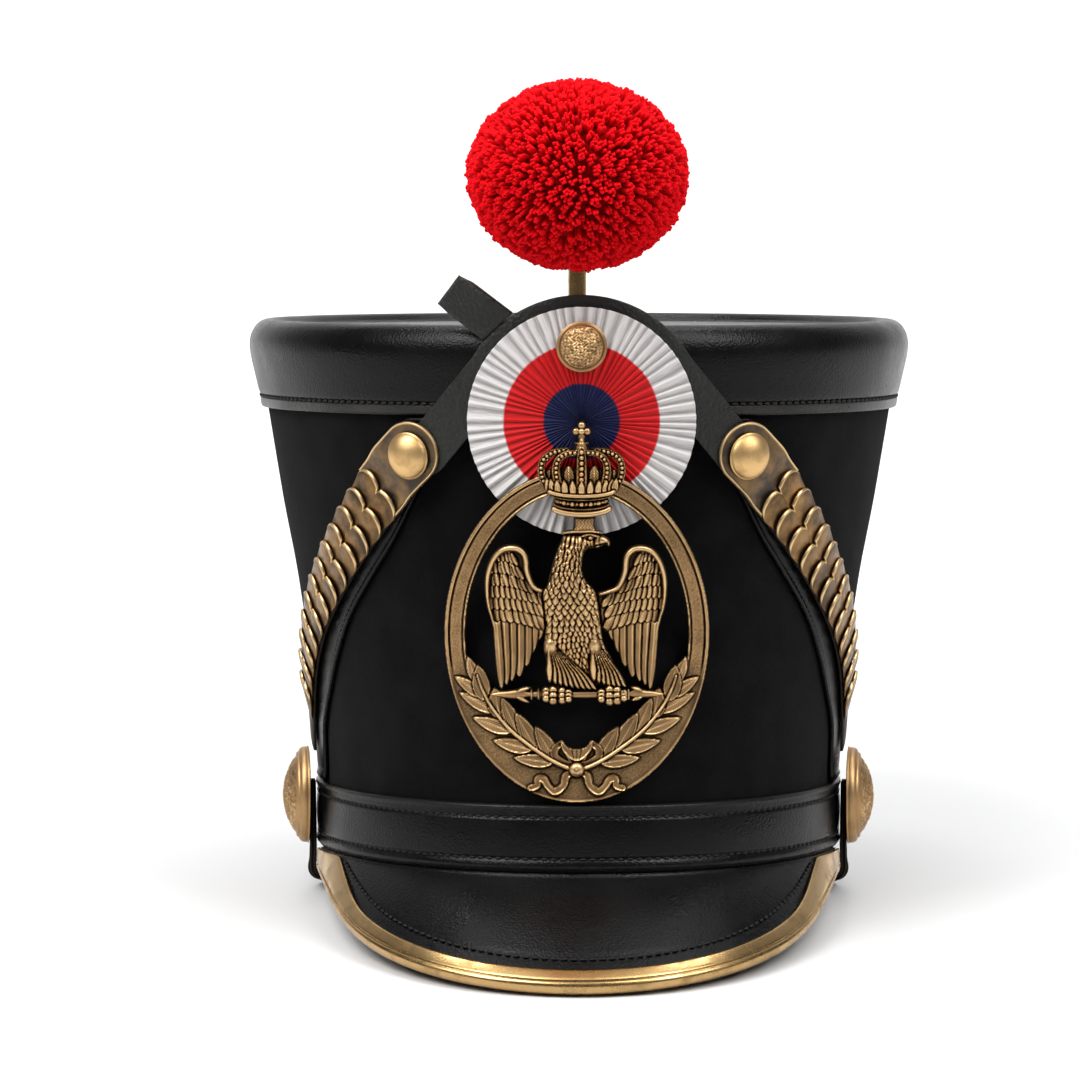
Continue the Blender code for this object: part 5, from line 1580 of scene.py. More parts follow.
class Sheet:
    """Two maps on one grid, and the ways to lay forms on them."""

    def __init__(self, left, right, low, high, grain):
        """An empty grid between these limits, in millimetres."""
        self.grain = grain
        self.x, self.z = np.meshgrid(np.arange(left, right, grain), np.arange(low, high, grain))
        self.rise = np.zeros_like(self.x)
        self.metal = np.full_like(self.x, -9.0)

    def near(self, points, margin):
        """Slices of the grid round some points, so that a form touches only its own cells."""
        low = np.min(points, axis=0) - margin
        high = np.max(points, axis=0) + margin
        return (slice(*np.searchsorted(self.z[:, 0], (low[1], high[1]))),
                slice(*np.searchsorted(self.x[0], (low[0], high[0]))))

    def cast(self, cells, inside, level, foot=0.8, soft=0.5, within=None, moat=None):
        """Lay a form that rounds from foot to level; with a moat it covers what is below it."""
        if within is None:
            self.metal[cells] = np.maximum(self.metal[cells], inside)
        else:
            inside = np.minimum(inside, within[cells])
        edge = np.sqrt(1 - (1 - np.clip(inside / soft, 0.0, 1.0)) ** 2)
        shaped = foot + (level - foot) * edge
        old = self.rise[cells]
        if moat is None:
            self.rise[cells] = np.where(inside > 0, np.maximum(old, shaped), old)
        else:
            pressed = old - moat * np.exp(-(np.minimum(inside, 0) / 0.3) ** 2)
            self.rise[cells] = np.where(inside > 0, shaped, np.maximum(pressed, np.minimum(old, 0.6)))

    def blade(self, root, tip, width, height, on=None, foot=0.8, lift=0.45, pointed=False, start=0.5,
              rib=0.16, veins=0.08, rim=0.0, slant=0.0, **form):
        """Leaf or feather from root to tip with rib, slanted veins, rim and a lifted tip."""
        root, tip = np.array(root, dtype=float), np.array(tip, dtype=float)
        length = np.hypot(*(tip - root))
        way = (tip - root) / length
        cells = self.near([root, tip], width)
        x, z = self.x[cells] - root[0], self.z[cells] - root[1]
        along = x * way[0] + z * way[1]
        across = x * way[1] - z * way[0]
        share = np.clip(along / length, 0.0, 1.0)
        if pointed:
            half = width / 2 * np.sin(math.pi * share ** 0.8) ** 0.75
        else:
            end = np.clip((share - 0.62) / 0.38, 0, 1)
            half = width / 2 * np.minimum(start + share, 1) * np.sqrt(1 - end ** 2)
        beyond = np.maximum(-along, along - length)
        inside = np.where(beyond > 0, -np.hypot(beyond, across), half - np.abs(across))
        ground = 0.0 if on is None else on[cells]
        level = ground + height + lift * (share - 1) + 0.25 * (1 - (2 * across / width) ** 2)
        level += rib * np.exp(-(across / 0.22) ** 2) * (1 - share ** 4) + slant * across / width
        level += veins * np.cos(2 * math.pi * (along + 1.1 * np.abs(across)) / 0.9)
        level += rim * np.exp(-((inside - 0.3) / 0.22) ** 2)
        self.cast(cells, inside, level, foot=ground + foot, **form)

    def path_field(self, path, parts=6):
        """Cells round a smooth path of (x, z, width) rows, the distance and the half width."""
        rows = smooth_rows(path, parts)
        cells = self.near(rows[:, :2], rows[:, 2].max())
        spot = np.stack([self.x[cells], self.z[cells]], -1)[..., None, :]
        away, share = near_line(spot, rows[:, :2])
        closest = np.argmin(away, axis=-1)[..., None]
        share = np.take_along_axis(share, closest, -1)[..., 0]
        closest = closest[..., 0]
        widths = rows[closest, 2] * (1 - share) + rows[closest + 1, 2] * share
        return cells, away.min(axis=-1), widths / 2

    def band(self, path, height, rim=0.0, dome=0.5, **form):
        """Rounded strip along a path, which may have raised edges."""
        cells, away, half = self.path_field(path)
        level = height - dome * (away / half) ** 2 + rim * np.exp(-((half - away - 0.25) / 0.18) ** 2)
        self.cast(cells, half - away, level, **form)

    def knob(self, x, z, radius, height, **form):
        """Domed bead."""
        cells = self.near([(x, z)], radius + 0.5)
        away = np.hypot(self.x[cells] - x, self.z[cells] - z)
        level = height - radius + np.sqrt(np.clip(radius ** 2 - away ** 2, 0.0, None))
        self.cast(cells, radius - away, level, soft=0.2, **form)

    def beading(self, path, pitch, radius, height, **form):
        """Beads at even steps along a path."""
        rows = smooth_rows(path, 8)
        lengths = run_along(rows)
        for spot in at_runs(np.arange(pitch / 2, lengths[-1], pitch), lengths, rows):
            self.knob(*spot, radius, height, **form)

    def groove(self, path, depth):
        """Engraved line along a path of (x, z, width)."""
        cells, away, half = self.path_field(path)
        self.rise[cells] -= depth * np.exp(-(away / half) ** 2)

    def inside_outline(self, outline, parts=5):
        """Distance inside a smooth closed outline, over the whole grid; negative outside."""
        rows = smooth_rows(np.vstack([outline, outline[:1]]), parts)
        cells = self.near(rows, 2.0)
        spot = np.stack([self.x[cells], self.z[cells]], -1)[..., None, :]
        away = near_line(spot, rows)[0].min(axis=-1)
        start, step = rows[:-1], np.diff(rows, axis=0)
        crosses = (start[:, 1] > spot[..., 1]) != (start[:, 1] + step[:, 1] > spot[..., 1])
        slope = step[:, 0] / np.where(step[:, 1] == 0, 1e-9, step[:, 1])
        crosses &= spot[..., 0] < start[:, 0] + (spot[..., 1] - start[:, 1]) * slope
        found = np.full_like(self.x, -9.0)
        found[cells] = np.where(crosses.sum(axis=-1) % 2 == 1, away, -away)
        return found

    def blurred(self, field, spread):
        """Field smoothed by a Gaussian of this spread in millimetres, through its frequencies."""
        along_z = np.fft.fftfreq(field.shape[0], self.grain)
        along_x = np.fft.rfftfreq(field.shape[1], self.grain)
        kept = np.exp(-2 * (math.pi * spread) ** 2 * (along_z[:, None] ** 2 + along_x ** 2))
        return np.fft.irfft2(np.fft.rfft2(field) * kept, field.shape)


EVERYWHERE = (slice(None), slice(None))


def mirrored(points, side, middle):
    """Points (x, ...) as drawn for the left, or mirrored to the right."""
    points = np.array(points, dtype=float)
    if side > 0:
        points[..., 0] = 2 * middle - points[..., 0]
    return points


# %% [markdown]
# Sheets become meshes in one way. Cells outside the metal are dropped, border points slide
# onto the exact outline, and walls join the face to a flat back. How far the face stands above
# its blurred self goes to the material, which darkens recesses with patina and painted shade
# and rubs high places bright.

# %% From a sheet to a mesh
PLATE_SEAT = 0.9
PLATE_LIFT = 8.7               # how far the back stands out over the cockade
PLATE_CLIMB = (62.0, 103.0)    # between these heights it climbs from the felt to there


def metal_cells(metal):
    """Cells of metal, without pairs that touch at one corner only."""
    kept = (metal[:-1, :-1] + metal[1:, :-1] + metal[:-1, 1:] + metal[1:, 1:]) > 0
    for _ in range(3):
        a, b, c, d = kept[:-1, :-1], kept[:-1, 1:], kept[1:, :-1], kept[1:, 1:]
        lone = (a & d & ~b & ~c) | (b & c & ~a & ~d)
        for part in (a, b, c, d):
            part |= lone
    return kept


def outline_points(sheet, kept):
    """Grid points, those on the border moved onto the line where metal is 0."""
    padded = np.pad(kept, 1).astype(int)
    around = padded[:-1, :-1] + padded[1:, :-1] + padded[:-1, 1:] + padded[1:, 1:]
    border = (around > 0) & (around < 4)
    up, right = np.gradient(sheet.metal, sheet.grain)
    steep = np.maximum(up ** 2 + right ** 2, 0.2)
    slide = np.where(border, -sheet.metal / steep, 0.0)[..., None] * np.stack([right, up], -1)
    far = np.linalg.norm(slide, axis=-1, keepdims=True)
    slide *= np.minimum(1.0, 0.75 * sheet.grain / np.maximum(far, 1e-9))
    return sheet.x + slide[..., 0], sheet.z + slide[..., 1]


def painted_shade_patina_and_rub(sheet):
    """Tone from 0 in the recesses, dark with patina and painted shade, to 1 on what stands out, rubbed
    bright, at two sizes of relief.
    """
    solid = np.where(sheet.metal > 0, 1.0, 0.0)
    shown = 0.36 + 0.03 * (sheet.rise - 1.6)
    for spread, gain in ((0.45, 1.0), (1.5, 0.28)):
        cover = np.maximum(sheet.blurred(solid, spread), 0.05)
        shown = shown + gain * (sheet.rise - sheet.blurred(sheet.rise * solid, spread) / cover)
    return shown


def plate_piece(name, sheet, back=0.0):
    """The sheet as a closed mesh on the hat's front: face, back and walls between."""
    kept = metal_cells(sheet.metal)
    x, z = outline_points(sheet, kept)
    face = np.maximum(sheet.blurred(sheet.rise, 0.1), back + 0.4)
    low, high = PLATE_CLIMB
    climb = PLATE_SEAT + (PLATE_LIFT - PLATE_SEAT) * ease((z - low) / (high - low))
    count = x.size
    corner = np.arange(count).reshape(x.shape)
    quads = np.stack([corner[:-1, :-1], corner[:-1, 1:], corner[1:, 1:], corner[1:, :-1]], -1)[kept]
    edges = np.stack([quads, np.roll(quads, -1, axis=1)], -1).reshape(-1, 2)
    lone = ~np.isin(edges[:, 0] * count + edges[:, 1], edges[:, 1] * count + edges[:, 0])
    start, end = edges[lone].T
    walls = np.stack([end, start, start + count, end + count], -1)
    used, faces = np.unique(np.concatenate([quads, quads[:, ::-1] + count, walls]), return_inverse=True)
    points = np.concatenate([front(x, z, climb + level).reshape(-1, 3) for level in (face, back)])
    # The back gets a dark tone, so the walls darken towards the hat: patina and painted shade.
    shown = np.concatenate([painted_shade_patina_and_rub(sheet).ravel(), np.full(count, 0.2)])
    piece(name, (points[used], faces.reshape(-1, 4).tolist()), CAST_BRASS,
          ["front_plate"], {"raised": shown[used]}, flat_angle=62)
    print(name, pieces[name], "faces")


# %% [markdown]
# ## Ring and wreath
#
# The ring's profile is drawn from its outer edge inward: two raised lines, a groove, a plain
# band, and one more raised line inside. Below, the band widens into a solid field, and on it
# lie two laurel branches tied with a ribbon.

# %% Ring
PLATE_X = -0.5
PLATE_HEIGHT = 74.8
PLATE_HALF_WIDTH = 41.5
PLATE_HALF_HEIGHT = 52.6
PLATE_RING = 6.8
PLATE_FIELD = (
    # degrees_below_level, reach of the inner edge
    (10, 60), (16, 35), (25, 33), (40, 30), (62, 32), (76, 35.2), (90, 35.6),
)
RING_PROFILE = (
    # distance from the outer edge, rise
    (0, 0.8), (0.15, 1.75), (0.4, 2.2), (0.62, 1.8), (0.8, 1.9), (1, 2.1), (1.2, 1.75), (1.4, 0.95),
    (1.65, 1), (1.9, 1.6), (5.3, 1.6), (5.55, 1), (5.8, 1), (6.05, 1.9), (6.3, 2.15), (6.6, 1.8), (6.8, 1),
)
FIELD_PROFILE = ((0, 0.8), (0.15, 1.7), (0.4, 1.95), (0.8, 1.6), (1.1, 1.4), (30, 1.4))
ring_sheet = Sheet(-43.0, 42.2, 21.2, 128.4, 0.29)


def ring(sheet):
    """Heights by the distance from the outer ellipse; below, the ring widens to a field."""
    x, z = sheet.x - PLATE_X, sheet.z - PLATE_HEIGHT
    turn = np.arctan2(z, x)
    far = 1 / np.hypot(np.cos(turn) / PLATE_HALF_WIDTH, np.sin(turn) / PLATE_HALF_HEIGHT)
    steep = np.hypot(x / PLATE_HALF_WIDTH ** 2, z / PLATE_HALF_HEIGHT ** 2) + 1e-9
    level = np.hypot(x / PLATE_HALF_WIDTH, z / PLATE_HALF_HEIGHT)
    edge = (1 - level) * level / steep
    below = np.degrees(np.arcsin(-np.sin(turn)))
    near = np.interp(below, *zip(*PLATE_FIELD))
    in_field = near < far - PLATE_RING - 1
    inside = np.minimum(edge, np.where(in_field, np.hypot(x, z) - near, PLATE_RING - edge))
    framed = np.interp(edge, *zip(*RING_PROFILE))
    plain = np.interp(edge, *zip(*FIELD_PROFILE))
    share = ease((below - 8.0) / 14.0)
    stipple = 0.06 * np.random.default_rng(5).normal(size=x.shape) * (edge > 1.8)
    sheet.cast(EVERYWHERE, inside, framed * (1 - share) + plain * share + stipple, soft=0.2)


ring(ring_sheet)
print("ring sheet", ring_sheet.rise.shape, "cells")

# %% Laurel wreath and bow
LAUREL_LEAVES = (
    # root (x, height), tip (x, height), width, left half: outer leaves, then inner
    ((-8, 34.8), (-20.3, 36.3), 4.4), ((-14.5, 38.8), (-26.8, 41.6), 4.6),
    ((-21, 44.3), (-33.1, 48.6), 4.6), ((-26, 50.5), (-37.3, 56.3), 4.4), ((-29, 55), (-38.7, 61.4), 4.2),
    ((-31.6, 59.5), (-34.6, 68), 3.8), ((-29.6, 54), (-31.4, 65.4), 5.8), ((-24.6, 48.5), (-26.2, 58.2), 6),
    ((-18.5, 43.4), (-24, 55.4), 5), ((-13, 39), (-19.6, 50.6), 5.2), ((-6.8, 35.2), (-13.6, 46.4), 5.2),
)
LAUREL_STEM = (
    (-2.5, 33, 1.5), (-7.5, 35.2, 1.5), (-13.5, 39, 1.4), (-21, 44.8, 1.3), (-26.8, 51.6, 1.2),
    (-30, 57.5, 1.1), (-31.6, 62, 0.8),
)
BOW_LOOP = ((-1.8, 34.4, 1.5), (-4.4, 35, 2), (-7.2, 36.8, 2.5), (-7.2, 39.4, 2.5), (-5.2, 41, 1.9))
BOW_TIE = ((-5, 40.8, 1.3), (-3.6, 38.8, 2.4), (-0.5, 37.4, 4), (2.6, 38.8, 2.4), (4, 40.8, 1.3))
BOW_CROSS = ((-3.9, 39.2, 1.8), (-2.6, 36.6, 1.7), (-1, 34.2, 1.4))
BOW_TAIL = (
    (-1.4, 31.9, 1.5), (-3.8, 30.8, 2.5), (-4.6, 27.8, 2.3), (-7.2, 25.8, 2.5), (-9.4, 27.4, 2.3),
    (-10.8, 29.6, 2.5), (-12.6, 29.7, 2.3), (-12.8, 27.6, 2.1), (-14.8, 26.8, 2.2),
)


def wreath(sheet):
    """Leaves, ribbon and stem for the left and, mirrored, for the right."""
    for side in (-1, 1):
        for root, tip, width in LAUREL_LEAVES:
            root, tip = mirrored((root, tip), side, PLATE_X)
            sheet.blade(root, tip, width, 2.3, lift=-0.2, pointed=True, rib=0.35, veins=0.13, rim=0.5,
                        soft=0.3, foot=1.2, moat=0.5)
        for path in (BOW_TAIL, BOW_CROSS, BOW_LOOP):
            sheet.band(mirrored(path, side, PLATE_X), 2.3, rim=0.7, dome=-0.2, foot=1.3, soft=0.3, moat=0.4)
        sheet.band(mirrored(LAUREL_STEM, side, PLATE_X), 3.3, foot=1.4, soft=0.4, moat=0.4)
    sheet.band(BOW_TIE, 2.5, rim=0.6, dome=-0.2, foot=1.1, soft=0.3, moat=0.3)
    for share in (-0.6, 0.0, 0.6):
        sheet.groove(((PLATE_X + 2.6 * share, 39.2, 0.4), (PLATE_X + 1.6 * share, 36.4, 0.4)), 0.4)
    sheet.knob(PLATE_X, 32.8, 2.4, 4.4, foot=1.4, moat=0.6)
    sheet.groove(((PLATE_X - 0.7, 33.0, 0.6), (PLATE_X, 32.3, 0.6), (PLATE_X + 0.7, 33.0, 0.6)), 0.6)


wreath(ring_sheet)
plate_piece("cast_ring", ring_sheet)

# %% [markdown]
# ## Eagle
#
# The wings have a smooth leading edge, rows of small feathers that overlap like tiles, and
# long feathers below. Rows are laid from the lowest up, so each row's tips lie on the next.

# %% Wings
EAGLE_X = -0.8
EAGLE_BACK = 0.25              # the eagle's back is this far in front of the ring's
WING_OUTLINE = (
    (-5, 88), (-9, 89), (-12, 90.2), (-14.7, 91.4), (-16.6, 95.2), (-17.2, 100), (-18.8, 103),
    (-21.3, 103.7), (-24.5, 102.8), (-27.3, 99.6), (-28.9, 94.6), (-29.2, 89.5), (-28.6, 84.4), (-27.2, 80),
    (-25.9, 76), (-24.8, 69.5), (-24, 63), (-22, 61.6), (-18.2, 63), (-15.4, 67.4), (-13.2, 72.6),
    (-9.5, 76.6), (-5, 80),
)
WING_EDGE = (
    # x, height, width
    (-8.4, 88.4, 1.4), (-10.8, 89.1, 1.7), (-13.9, 90.6, 2), (-15.9, 95.2, 2.1), (-16.5, 100, 2.2),
    (-18.5, 102.3, 2.3), (-21.3, 102.7, 2.4), (-24.2, 101.7, 2.3), (-26.6, 98.8, 2.1), (-28.1, 94.2, 2),
    (-28.4, 89.4, 1.7), (-27.9, 84.4, 1.5), (-26.7, 79.8, 1.2), (-25.5, 74, 1), (-24.4, 66, 0.8),
)
COVERTS = (
    # outermost tip, innermost tip, count, length, width
    ((-26.2, 98.2), (-18.2, 96.8), 6, 4.6, 1.6), ((-27.6, 94.4), (-17, 92.8), 8, 4.8, 1.7),
    ((-27.8, 90.6), (-13.6, 88.2), 10, 5, 1.8), ((-27.6, 86.8), (-9, 84.2), 11, 5.2, 2),
    ((-27.2, 83), (-9, 80.6), 10, 5.6, 2.2), ((-26.4, 79.2), (-9.6, 76.4), 8, 6.6, 2.6),
)
PRIMARIES = (
    # root, tip, width, from the innermost
    ((-11.6, 82), (-12.8, 73.4), 3.4), ((-13.6, 82), (-14.6, 69.4), 3.6), ((-16, 82), (-16.2, 65.2), 3.7),
    ((-18.4, 82), (-18.4, 61.8), 3.6), ((-20.8, 82), (-20.7, 60.4), 3.4), ((-23.2, 82), (-22.4, 59.2), 3.2),
    ((-25.6, 82), (-23.9, 57.8), 2.8),
)
eagle_sheet = Sheet(-30.4, 29.0, 52.6, 109.6, 0.22)


def wing(sheet, side):
    """Base, then long feathers, then rows of coverts from the lowest up, then the edge."""
    shape = sheet.inside_outline(mirrored(WING_OUTLINE, side, EAGLE_X))
    base = 1.2 + 1.2 * ease((shape - 0.4) / 5.0)
    sheet.cast(EVERYWHERE, shape, base, soft=0.4)
    for index, (root, tip, width) in enumerate(PRIMARIES):
        root, tip = mirrored((root, tip), side, EAGLE_X)
        sheet.blade(root, tip, width, 2.5 + 0.05 * index, foot=1.1, lift=-0.4, start=0.9, rib=0.45,
                    veins=0.14, slant=-0.35 * side, soft=0.4, moat=0.55)
    for row, (outer, inner, count, length, width) in reversed(list(enumerate(COVERTS))):
        for share in (np.arange(count) + 0.5 * (row % 2)) / (count - 0.5):
            tip = np.array(outer) * (1 - share) + np.array(inner) * share
            tip[1] += 0.9 * math.sin(math.pi * share)
            way = unit(np.array([0.02 + 0.5 * share + 0.1 * math.sin(7 * row + 31 * share), -1.0]))
            root, end = mirrored((tip - way * length, tip), side, EAGLE_X)
            sheet.blade(root, end, width, 1.15, on=base, foot=0.2, lift=0.35, rib=0.22, veins=0.09, soft=0.35,
                        within=shape - 0.6, moat=0.6)
    sheet.band(mirrored(WING_EDGE, side, EAGLE_X), 3.9, foot=1.0, soft=0.9)


for _, side in HANDS:
    wing(eagle_sheet, side)
print("wing feathers", 2 * (len(PRIMARIES) + sum(row[2] for row in COVERTS)))

# %% Body, legs and tail
BODY_OUTLINE = (
    (-4.6, 107.2), (6.4, 107.3), (7.4, 105.4), (5.6, 103.1), (2.9, 102.4), (1.6, 100.6), (1.2, 96),
    (2.4, 92.6), (4.9, 89.8), (6.1, 86), (7, 79), (8.2, 72.4), (11.2, 66.4), (12.4, 61.4), (4, 59),
    (-4, 61), (-7.6, 62.4), (-10.4, 68), (-10.9, 72.6), (-10.3, 77), (-10.6, 82), (-11.2, 88.6),
    (-9.7, 91.6), (-8.2, 97.6), (-6.8, 102),
)
FEATHER_ROWS = 25
TOP_ROW = 104.2                # height of the first row's tips
ROW_STEP = 1.72
LEG_FANS = (
    # knee, last tip, first tip, count
    ((4.6, 71.6), (14.8, 58.6), (4.9, 60.6), 7), ((-8.8, 71.4), (5.8, 57.8), (-8.9, 60.2), 9),
)
SHANKS = (((-6.2, 63, 3), (-6.4, 57, 3.4)), ((9.6, 63, 3.6), (10.6, 57, 4.4)))


def body(sheet):
    """A swelling base under rows of small feathers, each laid a little unevenly."""
    shape = sheet.inside_outline(BODY_OUTLINE)
    fall = ease((sheet.z - 58.0) / 16.0)
    base = 1.5 + (0.6 + 2.7 * fall) * np.sqrt(1 - (1 - np.clip(shape / 6.0, 0, 1)) ** 2)
    sheet.cast(EVERYWHERE, shape, base, soft=0.5, moat=0.5)
    for shank in SHANKS:
        sheet.band(shank, 2.6, foot=1.0, soft=0.8)
    uneven = np.random.default_rng(11)
    for row in reversed(range(FEATHER_ROWS)):
        height = TOP_ROW - ROW_STEP * row
        breast = math.exp(-((height - 84.0) / 8.5) ** 2)
        width = 1.45 + 1.15 * breast
        length = 4.4 - 0.4 * breast - 0.9 * (height < 78.0)
        middle = -1.8 + 0.13 * (88.0 - height) - 0.9 * ease((height - 92.0) / 10.0)
        for step in np.arange(-7, 8) + 0.5 * (row % 2):
            tip = np.array([middle + step * width * 0.9, height - 0.2 * abs(step)])
            tip += uneven.normal(0, 0.22, 2)
            swirl = 0.05 * step - 0.3 * ease((height - 90.0) / 8.0)
            way = unit(np.array([swirl + uneven.normal(0, 0.09), -1.0]))
            sheet.blade(tip - way * length, tip, width, 0.75, on=base, foot=0.1, lift=0.35,
                        pointed=height > 77, rib=0.22, veins=0.05, soft=0.35, within=shape - 0.15, moat=0.6)


def legs(sheet):
    """Thigh feathers fan out from each knee, and a knob of muscle covers their roots."""
    for knee, last, first, count in LEG_FANS:
        for share in np.linspace(1.0, 0.0, count):
            tip = np.array(first) * (1 - share) + np.array(last) * share
            tip = tip - (0.0, 0.5 * math.sin(math.pi * share))
            root = np.array(knee) + (1.8 * share - 0.4, 0.6 - 0.4 * share)
            sheet.blade(root, tip, 2.5, 4.6 - 0.8 * share, foot=1.6, lift=-1.6, start=0.35, rib=0.4,
                        veins=0.06, soft=0.7, moat=0.8)
        cells = sheet.near([knee], 4.4)
        away = np.hypot((sheet.x[cells] - knee[0] - 0.2) / 2.3, (sheet.z[cells] - knee[1] - 0.3) / 3.2)
        sheet.cast(cells, (1 - away) * 2.3, 6.0 - 1.7 * away ** 2, foot=3.6, soft=1.2)


BEAK_OUTLINE = (
    (5.2, 107.2), (7.6, 106.9), (9.6, 105.6), (9.9, 104), (9.2, 103.2), (8.2, 103.9), (5.4, 102.7),
    (4.4, 104.8),
)
MOUTH = ((2.9, 103, 0.35), (6, 103.9, 0.4), (9, 104.4, 0.35))
BEAK_ROOT = ((6.6, 106.6, 0.4), (6.3, 105.2, 0.4), (6.6, 103.8, 0.3))
BROW = ((1.2, 106.7, 0.9), (3.4, 107.2, 1.1), (6.2, 106.5, 0.8))
EYELID = ((2.2, 105.9, 0.5), (3.5, 105.2, 0.5), (5, 105.9, 0.5))
CAP = ((-5, 107.5, 0.9), (-2, 108, 1.2), (4, 108.1, 1.2), (7.1, 107.7, 0.9))


def head(sheet):
    """Hooked beak, mouth line, brow, eye, and the flat cap under the crown."""
    beak = sheet.inside_outline(np.array(BEAK_OUTLINE), parts=3)
    sheet.cast(EVERYWHERE, beak, 3.3 + 0.7 * ease(beak / 1.4), foot=1.6, soft=0.9, moat=0.3)
    sheet.groove(MOUTH, 1.2)
    sheet.groove(BEAK_ROOT, 0.5)
    sheet.band(BROW, 5.0, foot=2.6, soft=0.4)
    sheet.groove(EYELID, 0.8)
    sheet.knob(3.6, 106.1, 0.66, 4.9, foot=2.6, moat=0.5)
    sheet.band(CAP, 4.9, foot=2.2, soft=0.5, moat=0.4)


body(eagle_sheet)
legs(eagle_sheet)
head(eagle_sheet)
print("breast feathers", 15 * FEATHER_ROWS)

# %% Bar and claws
TOES = (
    # x, top and bottom beads, radius
    (-10, 57.6, 55.2, 1.35), (-7.9, 57.9, 54.4, 1.35), (-5, 57.6, 54.6, 1.3), (-3.1, 57.2, 55, 1.15),
    (7.2, 57.2, 55, 1.2), (9.7, 58, 54.2, 1.4), (12.1, 57.8, 54.4, 1.35), (14.2, 57, 55.2, 1.15),
)
BAR = (
    (-27.4, 56.1, 1), (-25, 56.2, 2.1), (-21.5, 56.2, 2.9), (-18, 56.4, 3.4), (-15.6, 56.4, 2.2),
    (-11, 56.4, 2.6), (0, 56.4, 2.6), (12, 56.5, 2.6), (15.6, 56.5, 2), (18.2, 56.7, 3.4), (21, 56.5, 2.7),
    (24, 56.4, 2.2), (26.6, 56.3, 1),
)
BAR_RINGS = (-14.6, -12.4, 15.6)
BAR_HEIGHT = 56.4
BARBS = (
    ((-19.4, 57.2), (-14.4, 58.8)), ((-19.4, 55.6), (-15, 53.7)), ((20, 57.6), (16, 58.8)),
    ((20, 55.6), (16.2, 54.4)),
)


def bar_and_claws(sheet):
    """The bar with its barbs and rings, and three beads for each toe."""
    sheet.band(BAR, 3.4, foot=1.4, soft=0.6, dome=0.7, moat=0.4)
    for root, tip in BARBS:
        sheet.blade(root, tip, 1.7, 3.3, lift=0.1, pointed=True, rib=0.2, veins=0.0, foot=1.4)
    for x in BAR_RINGS:
        sheet.band(((x, 55.0, 0.9), (x, 57.8, 0.9)), 4.0, foot=1.8, soft=0.4)
    for x, high, low, radius in TOES:
        for z in np.linspace(high, low, 3):
            sheet.knob(x, z, radius, 4.7 - 0.15 * abs(z - BAR_HEIGHT), foot=2.8, moat=0.2)


bar_and_claws(eagle_sheet)
plate_piece("cast_eagle", eagle_sheet, EAGLE_BACK)

# %% [markdown]
# ## Crown
#
# Beaded arches spring from a banded rim and meet under an orb and cross. The gaps between the
# arches are open. The rims sag in the middle, as hoops do when they are seen from above.

# %% Crown
CROWN_X = 0.9
CROWN_BASE = (
    (-7.6, 114.6), (0.9, 112.7), (9.4, 114.6), (10, 115.6), (9, 117.4), (9.8, 119.6), (11, 121.2),
    (12.2, 123.8), (12.6, 126.6), (8, 127.6), (-6.2, 127.6), (-10.8, 126.6), (-10.4, 123.8), (-9.2, 121.2),
    (-8, 119.6), (-7.2, 117.4), (-8.2, 115.6),
)
ARCH_OUTER = (
    (-8.9, 120.8, 2.4), (-10.8, 123.8, 2.4), (-11.6, 127.2, 2.4), (-10.8, 130.4, 2.4), (-8.2, 132.4, 2.3),
    (-4.4, 133.2, 2), (-0.2, 132.8, 2),
)
ARCH_INNER = (
    (-5.4, 120.4, 2.7), (-6.6, 124, 2.8), (-7, 127.6, 2.7), (-6.2, 130.4, 2.5), (-3.8, 132.2, 2.2),
    (-0.4, 132.6, 2),
)
ARCH_MIDDLE = ((0.9, 120, 3.4), (0.9, 127, 3.4), (0.9, 131, 3.1), (0.9, 133.4, 2.4))
HOOPS = (
    # half width, height of the ends, sag, width, rise
    (8.5, 115.6, 2.2, 1.9, 5.6), (8.4, 116.9, 2, 0.7, 5.3), (9.2, 119.7, 1.8, 0.7, 5.5),
    (9.9, 120.9, 1.8, 1.5, 6.1),
)
HOOP_TURN = 1.35
crown_sheet = Sheet(-14.0, 15.8, 106.6, 142.8, 0.16)


def hoop(half, ends, sag, width):
    """Path (x, z, width) of a hoop seen from a little above."""
    turn = np.linspace(-HOOP_TURN, HOOP_TURN, 13)
    return np.stack([CROWN_X + half * np.sin(turn) / math.sin(HOOP_TURN), ends - sag * np.cos(turn),
                     np.full(len(turn), width)], -1)


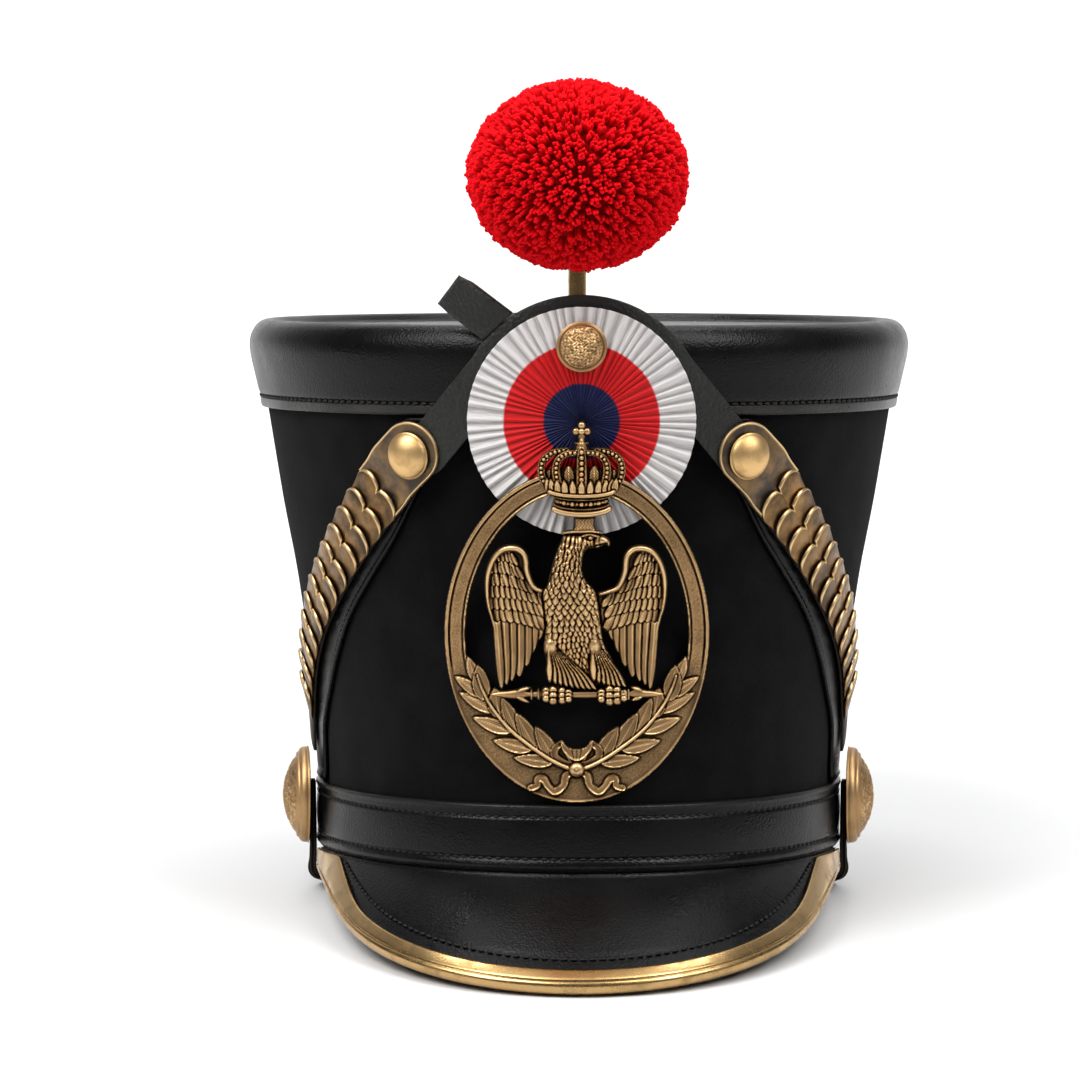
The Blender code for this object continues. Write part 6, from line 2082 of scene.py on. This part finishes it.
def crown(sheet):
    """Cap and leaves first, then the beaded arches, then the hoops with their stones."""
    base = sheet.inside_outline(np.array(CROWN_BASE), parts=3)
    curve = 2.6 * np.sqrt(1 - np.clip((sheet.x - CROWN_X) / 13.0, -1, 1) ** 2)
    sheet.cast(EVERYWHERE, base, 0.9 + curve, foot=1.0, soft=0.5)
    for side in (-1, 1):
        for x, top in ((-9.0, 127.4), (-3.0, 128.6)):
            root, tip = mirrored(((x + 0.2, 119.8), (x - 0.1, top)), side, CROWN_X)
            sheet.blade(root, tip, 3.3, 1.7, on=curve, lift=0.4, rib=0.5, veins=0.2, foot=0.8, moat=0.5)
        for path, height in ((ARCH_OUTER, 4.3), (ARCH_INNER, 5.3)):
            path = mirrored(path, side, CROWN_X)
            sheet.band(path, height, rim=0.5, dome=0.2, foot=1.4, soft=0.4, moat=0.6)
            sheet.beading(path[:, :2], 1.4, 0.66, height + 0.75, foot=2.0, moat=0.5)
    sheet.band(ARCH_MIDDLE, 5.8, rim=0.5, dome=0.2, foot=1.6, soft=0.4, moat=0.6)
    sheet.beading(np.array(ARCH_MIDDLE)[:, :2], 1.7, 0.8, 6.9, foot=2.0, moat=0.6)
    for turn in np.linspace(-1.25, 1.25, 11):
        x = CROWN_X + 10.4 * math.sin(turn)
        root = (x, 120.3 - 1.4 * math.cos(turn))
        tip = (x + 1.0 * math.sin(turn), 125.2 - 1.2 * math.cos(turn))
        sheet.blade(root, tip, 2.3, 3.4, on=curve, lift=0.4, pointed=True, rib=0.3, veins=0.0, rim=0.35,
                    soft=0.3, foot=1.0, moat=0.6)
    for *shape, height in HOOPS:
        sheet.band(hoop(*shape), height, foot=2.0, soft=0.3, dome=0.5, moat=0.4)
    for number, turn in enumerate(np.linspace(-1.2, 1.2, 15)):
        x = CROWN_X + 8.5 * math.sin(turn)
        z = 118.3 - 1.8 * math.cos(turn)
        level = 2.6 + 2.3 * math.cos(turn)
        sheet.knob(x, z, 0.8 if number % 2 else 0.5, level + 0.3, foot=2.0)
        fleck = ((x - 0.5, z - 0.6, 0.4), (x, z + 0.5, 0.4), (x + 0.6, z - 0.3, 0.4))
        sheet.band(fleck, level, foot=2.0, soft=0.2)


PILLAR_X = 1.8
PILLAR_HEIGHT = 110.6


def pillar(sheet):
    """Short stippled stand between the eagle's cap and the crown."""
    above = sheet.z - PILLAR_HEIGHT
    inside = np.minimum(3.1 + 0.8 * (above / 2.6) ** 2 - np.abs(sheet.x - PILLAR_X), 3.2 - np.abs(above))
    grain = 0.2 * np.cos(sheet.x * 6.2 + np.sin(sheet.z * 4.0)) * np.cos(sheet.z * 5.6)
    level = 2.4 + 1.9 * np.sqrt(1 - (1 - np.clip(inside / 2.6, 0, 1)) ** 2)
    sheet.cast(EVERYWHERE, inside, level + grain, soft=0.4, foot=1.4)


ORB = ((0.9, 133, 4.4), (0.9, 134.6, 4.2), (0.9, 136.3, 2.4))
ORB_BAND = ((-1, 135.6, 0.6), (0.9, 135.3, 0.7), (2.8, 135.6, 0.6))
CROSS_HEIGHT = 139.1
CROSS_ENDS = ((-0.8, 139.1), (2.6, 139.1), (0.9, 141), (0.9, 137.4))


def orb_and_cross(sheet):
    """A banded ball, and a cross of four beaded arms."""
    sheet.band(ORB, 5.4, dome=1.6, foot=1.6, soft=0.8)
    sheet.band(ORB_BAND, 6.0, foot=2.0, soft=0.3)
    for x, z in CROSS_ENDS:
        sheet.band(((CROWN_X, CROSS_HEIGHT, 1.7), (x, z, 2.1)), 3.7, foot=1.6, soft=0.4)
        sheet.knob(x, z, 1.3, 4.2, foot=1.8)
    sheet.knob(CROWN_X, CROSS_HEIGHT, 1.05, 4.7, foot=1.8)


pillar(crown_sheet)
crown(crown_sheet)
orb_and_cross(crown_sheet)
plate_piece("cast_crown", crown_sheet, EAGLE_BACK + 0.2)
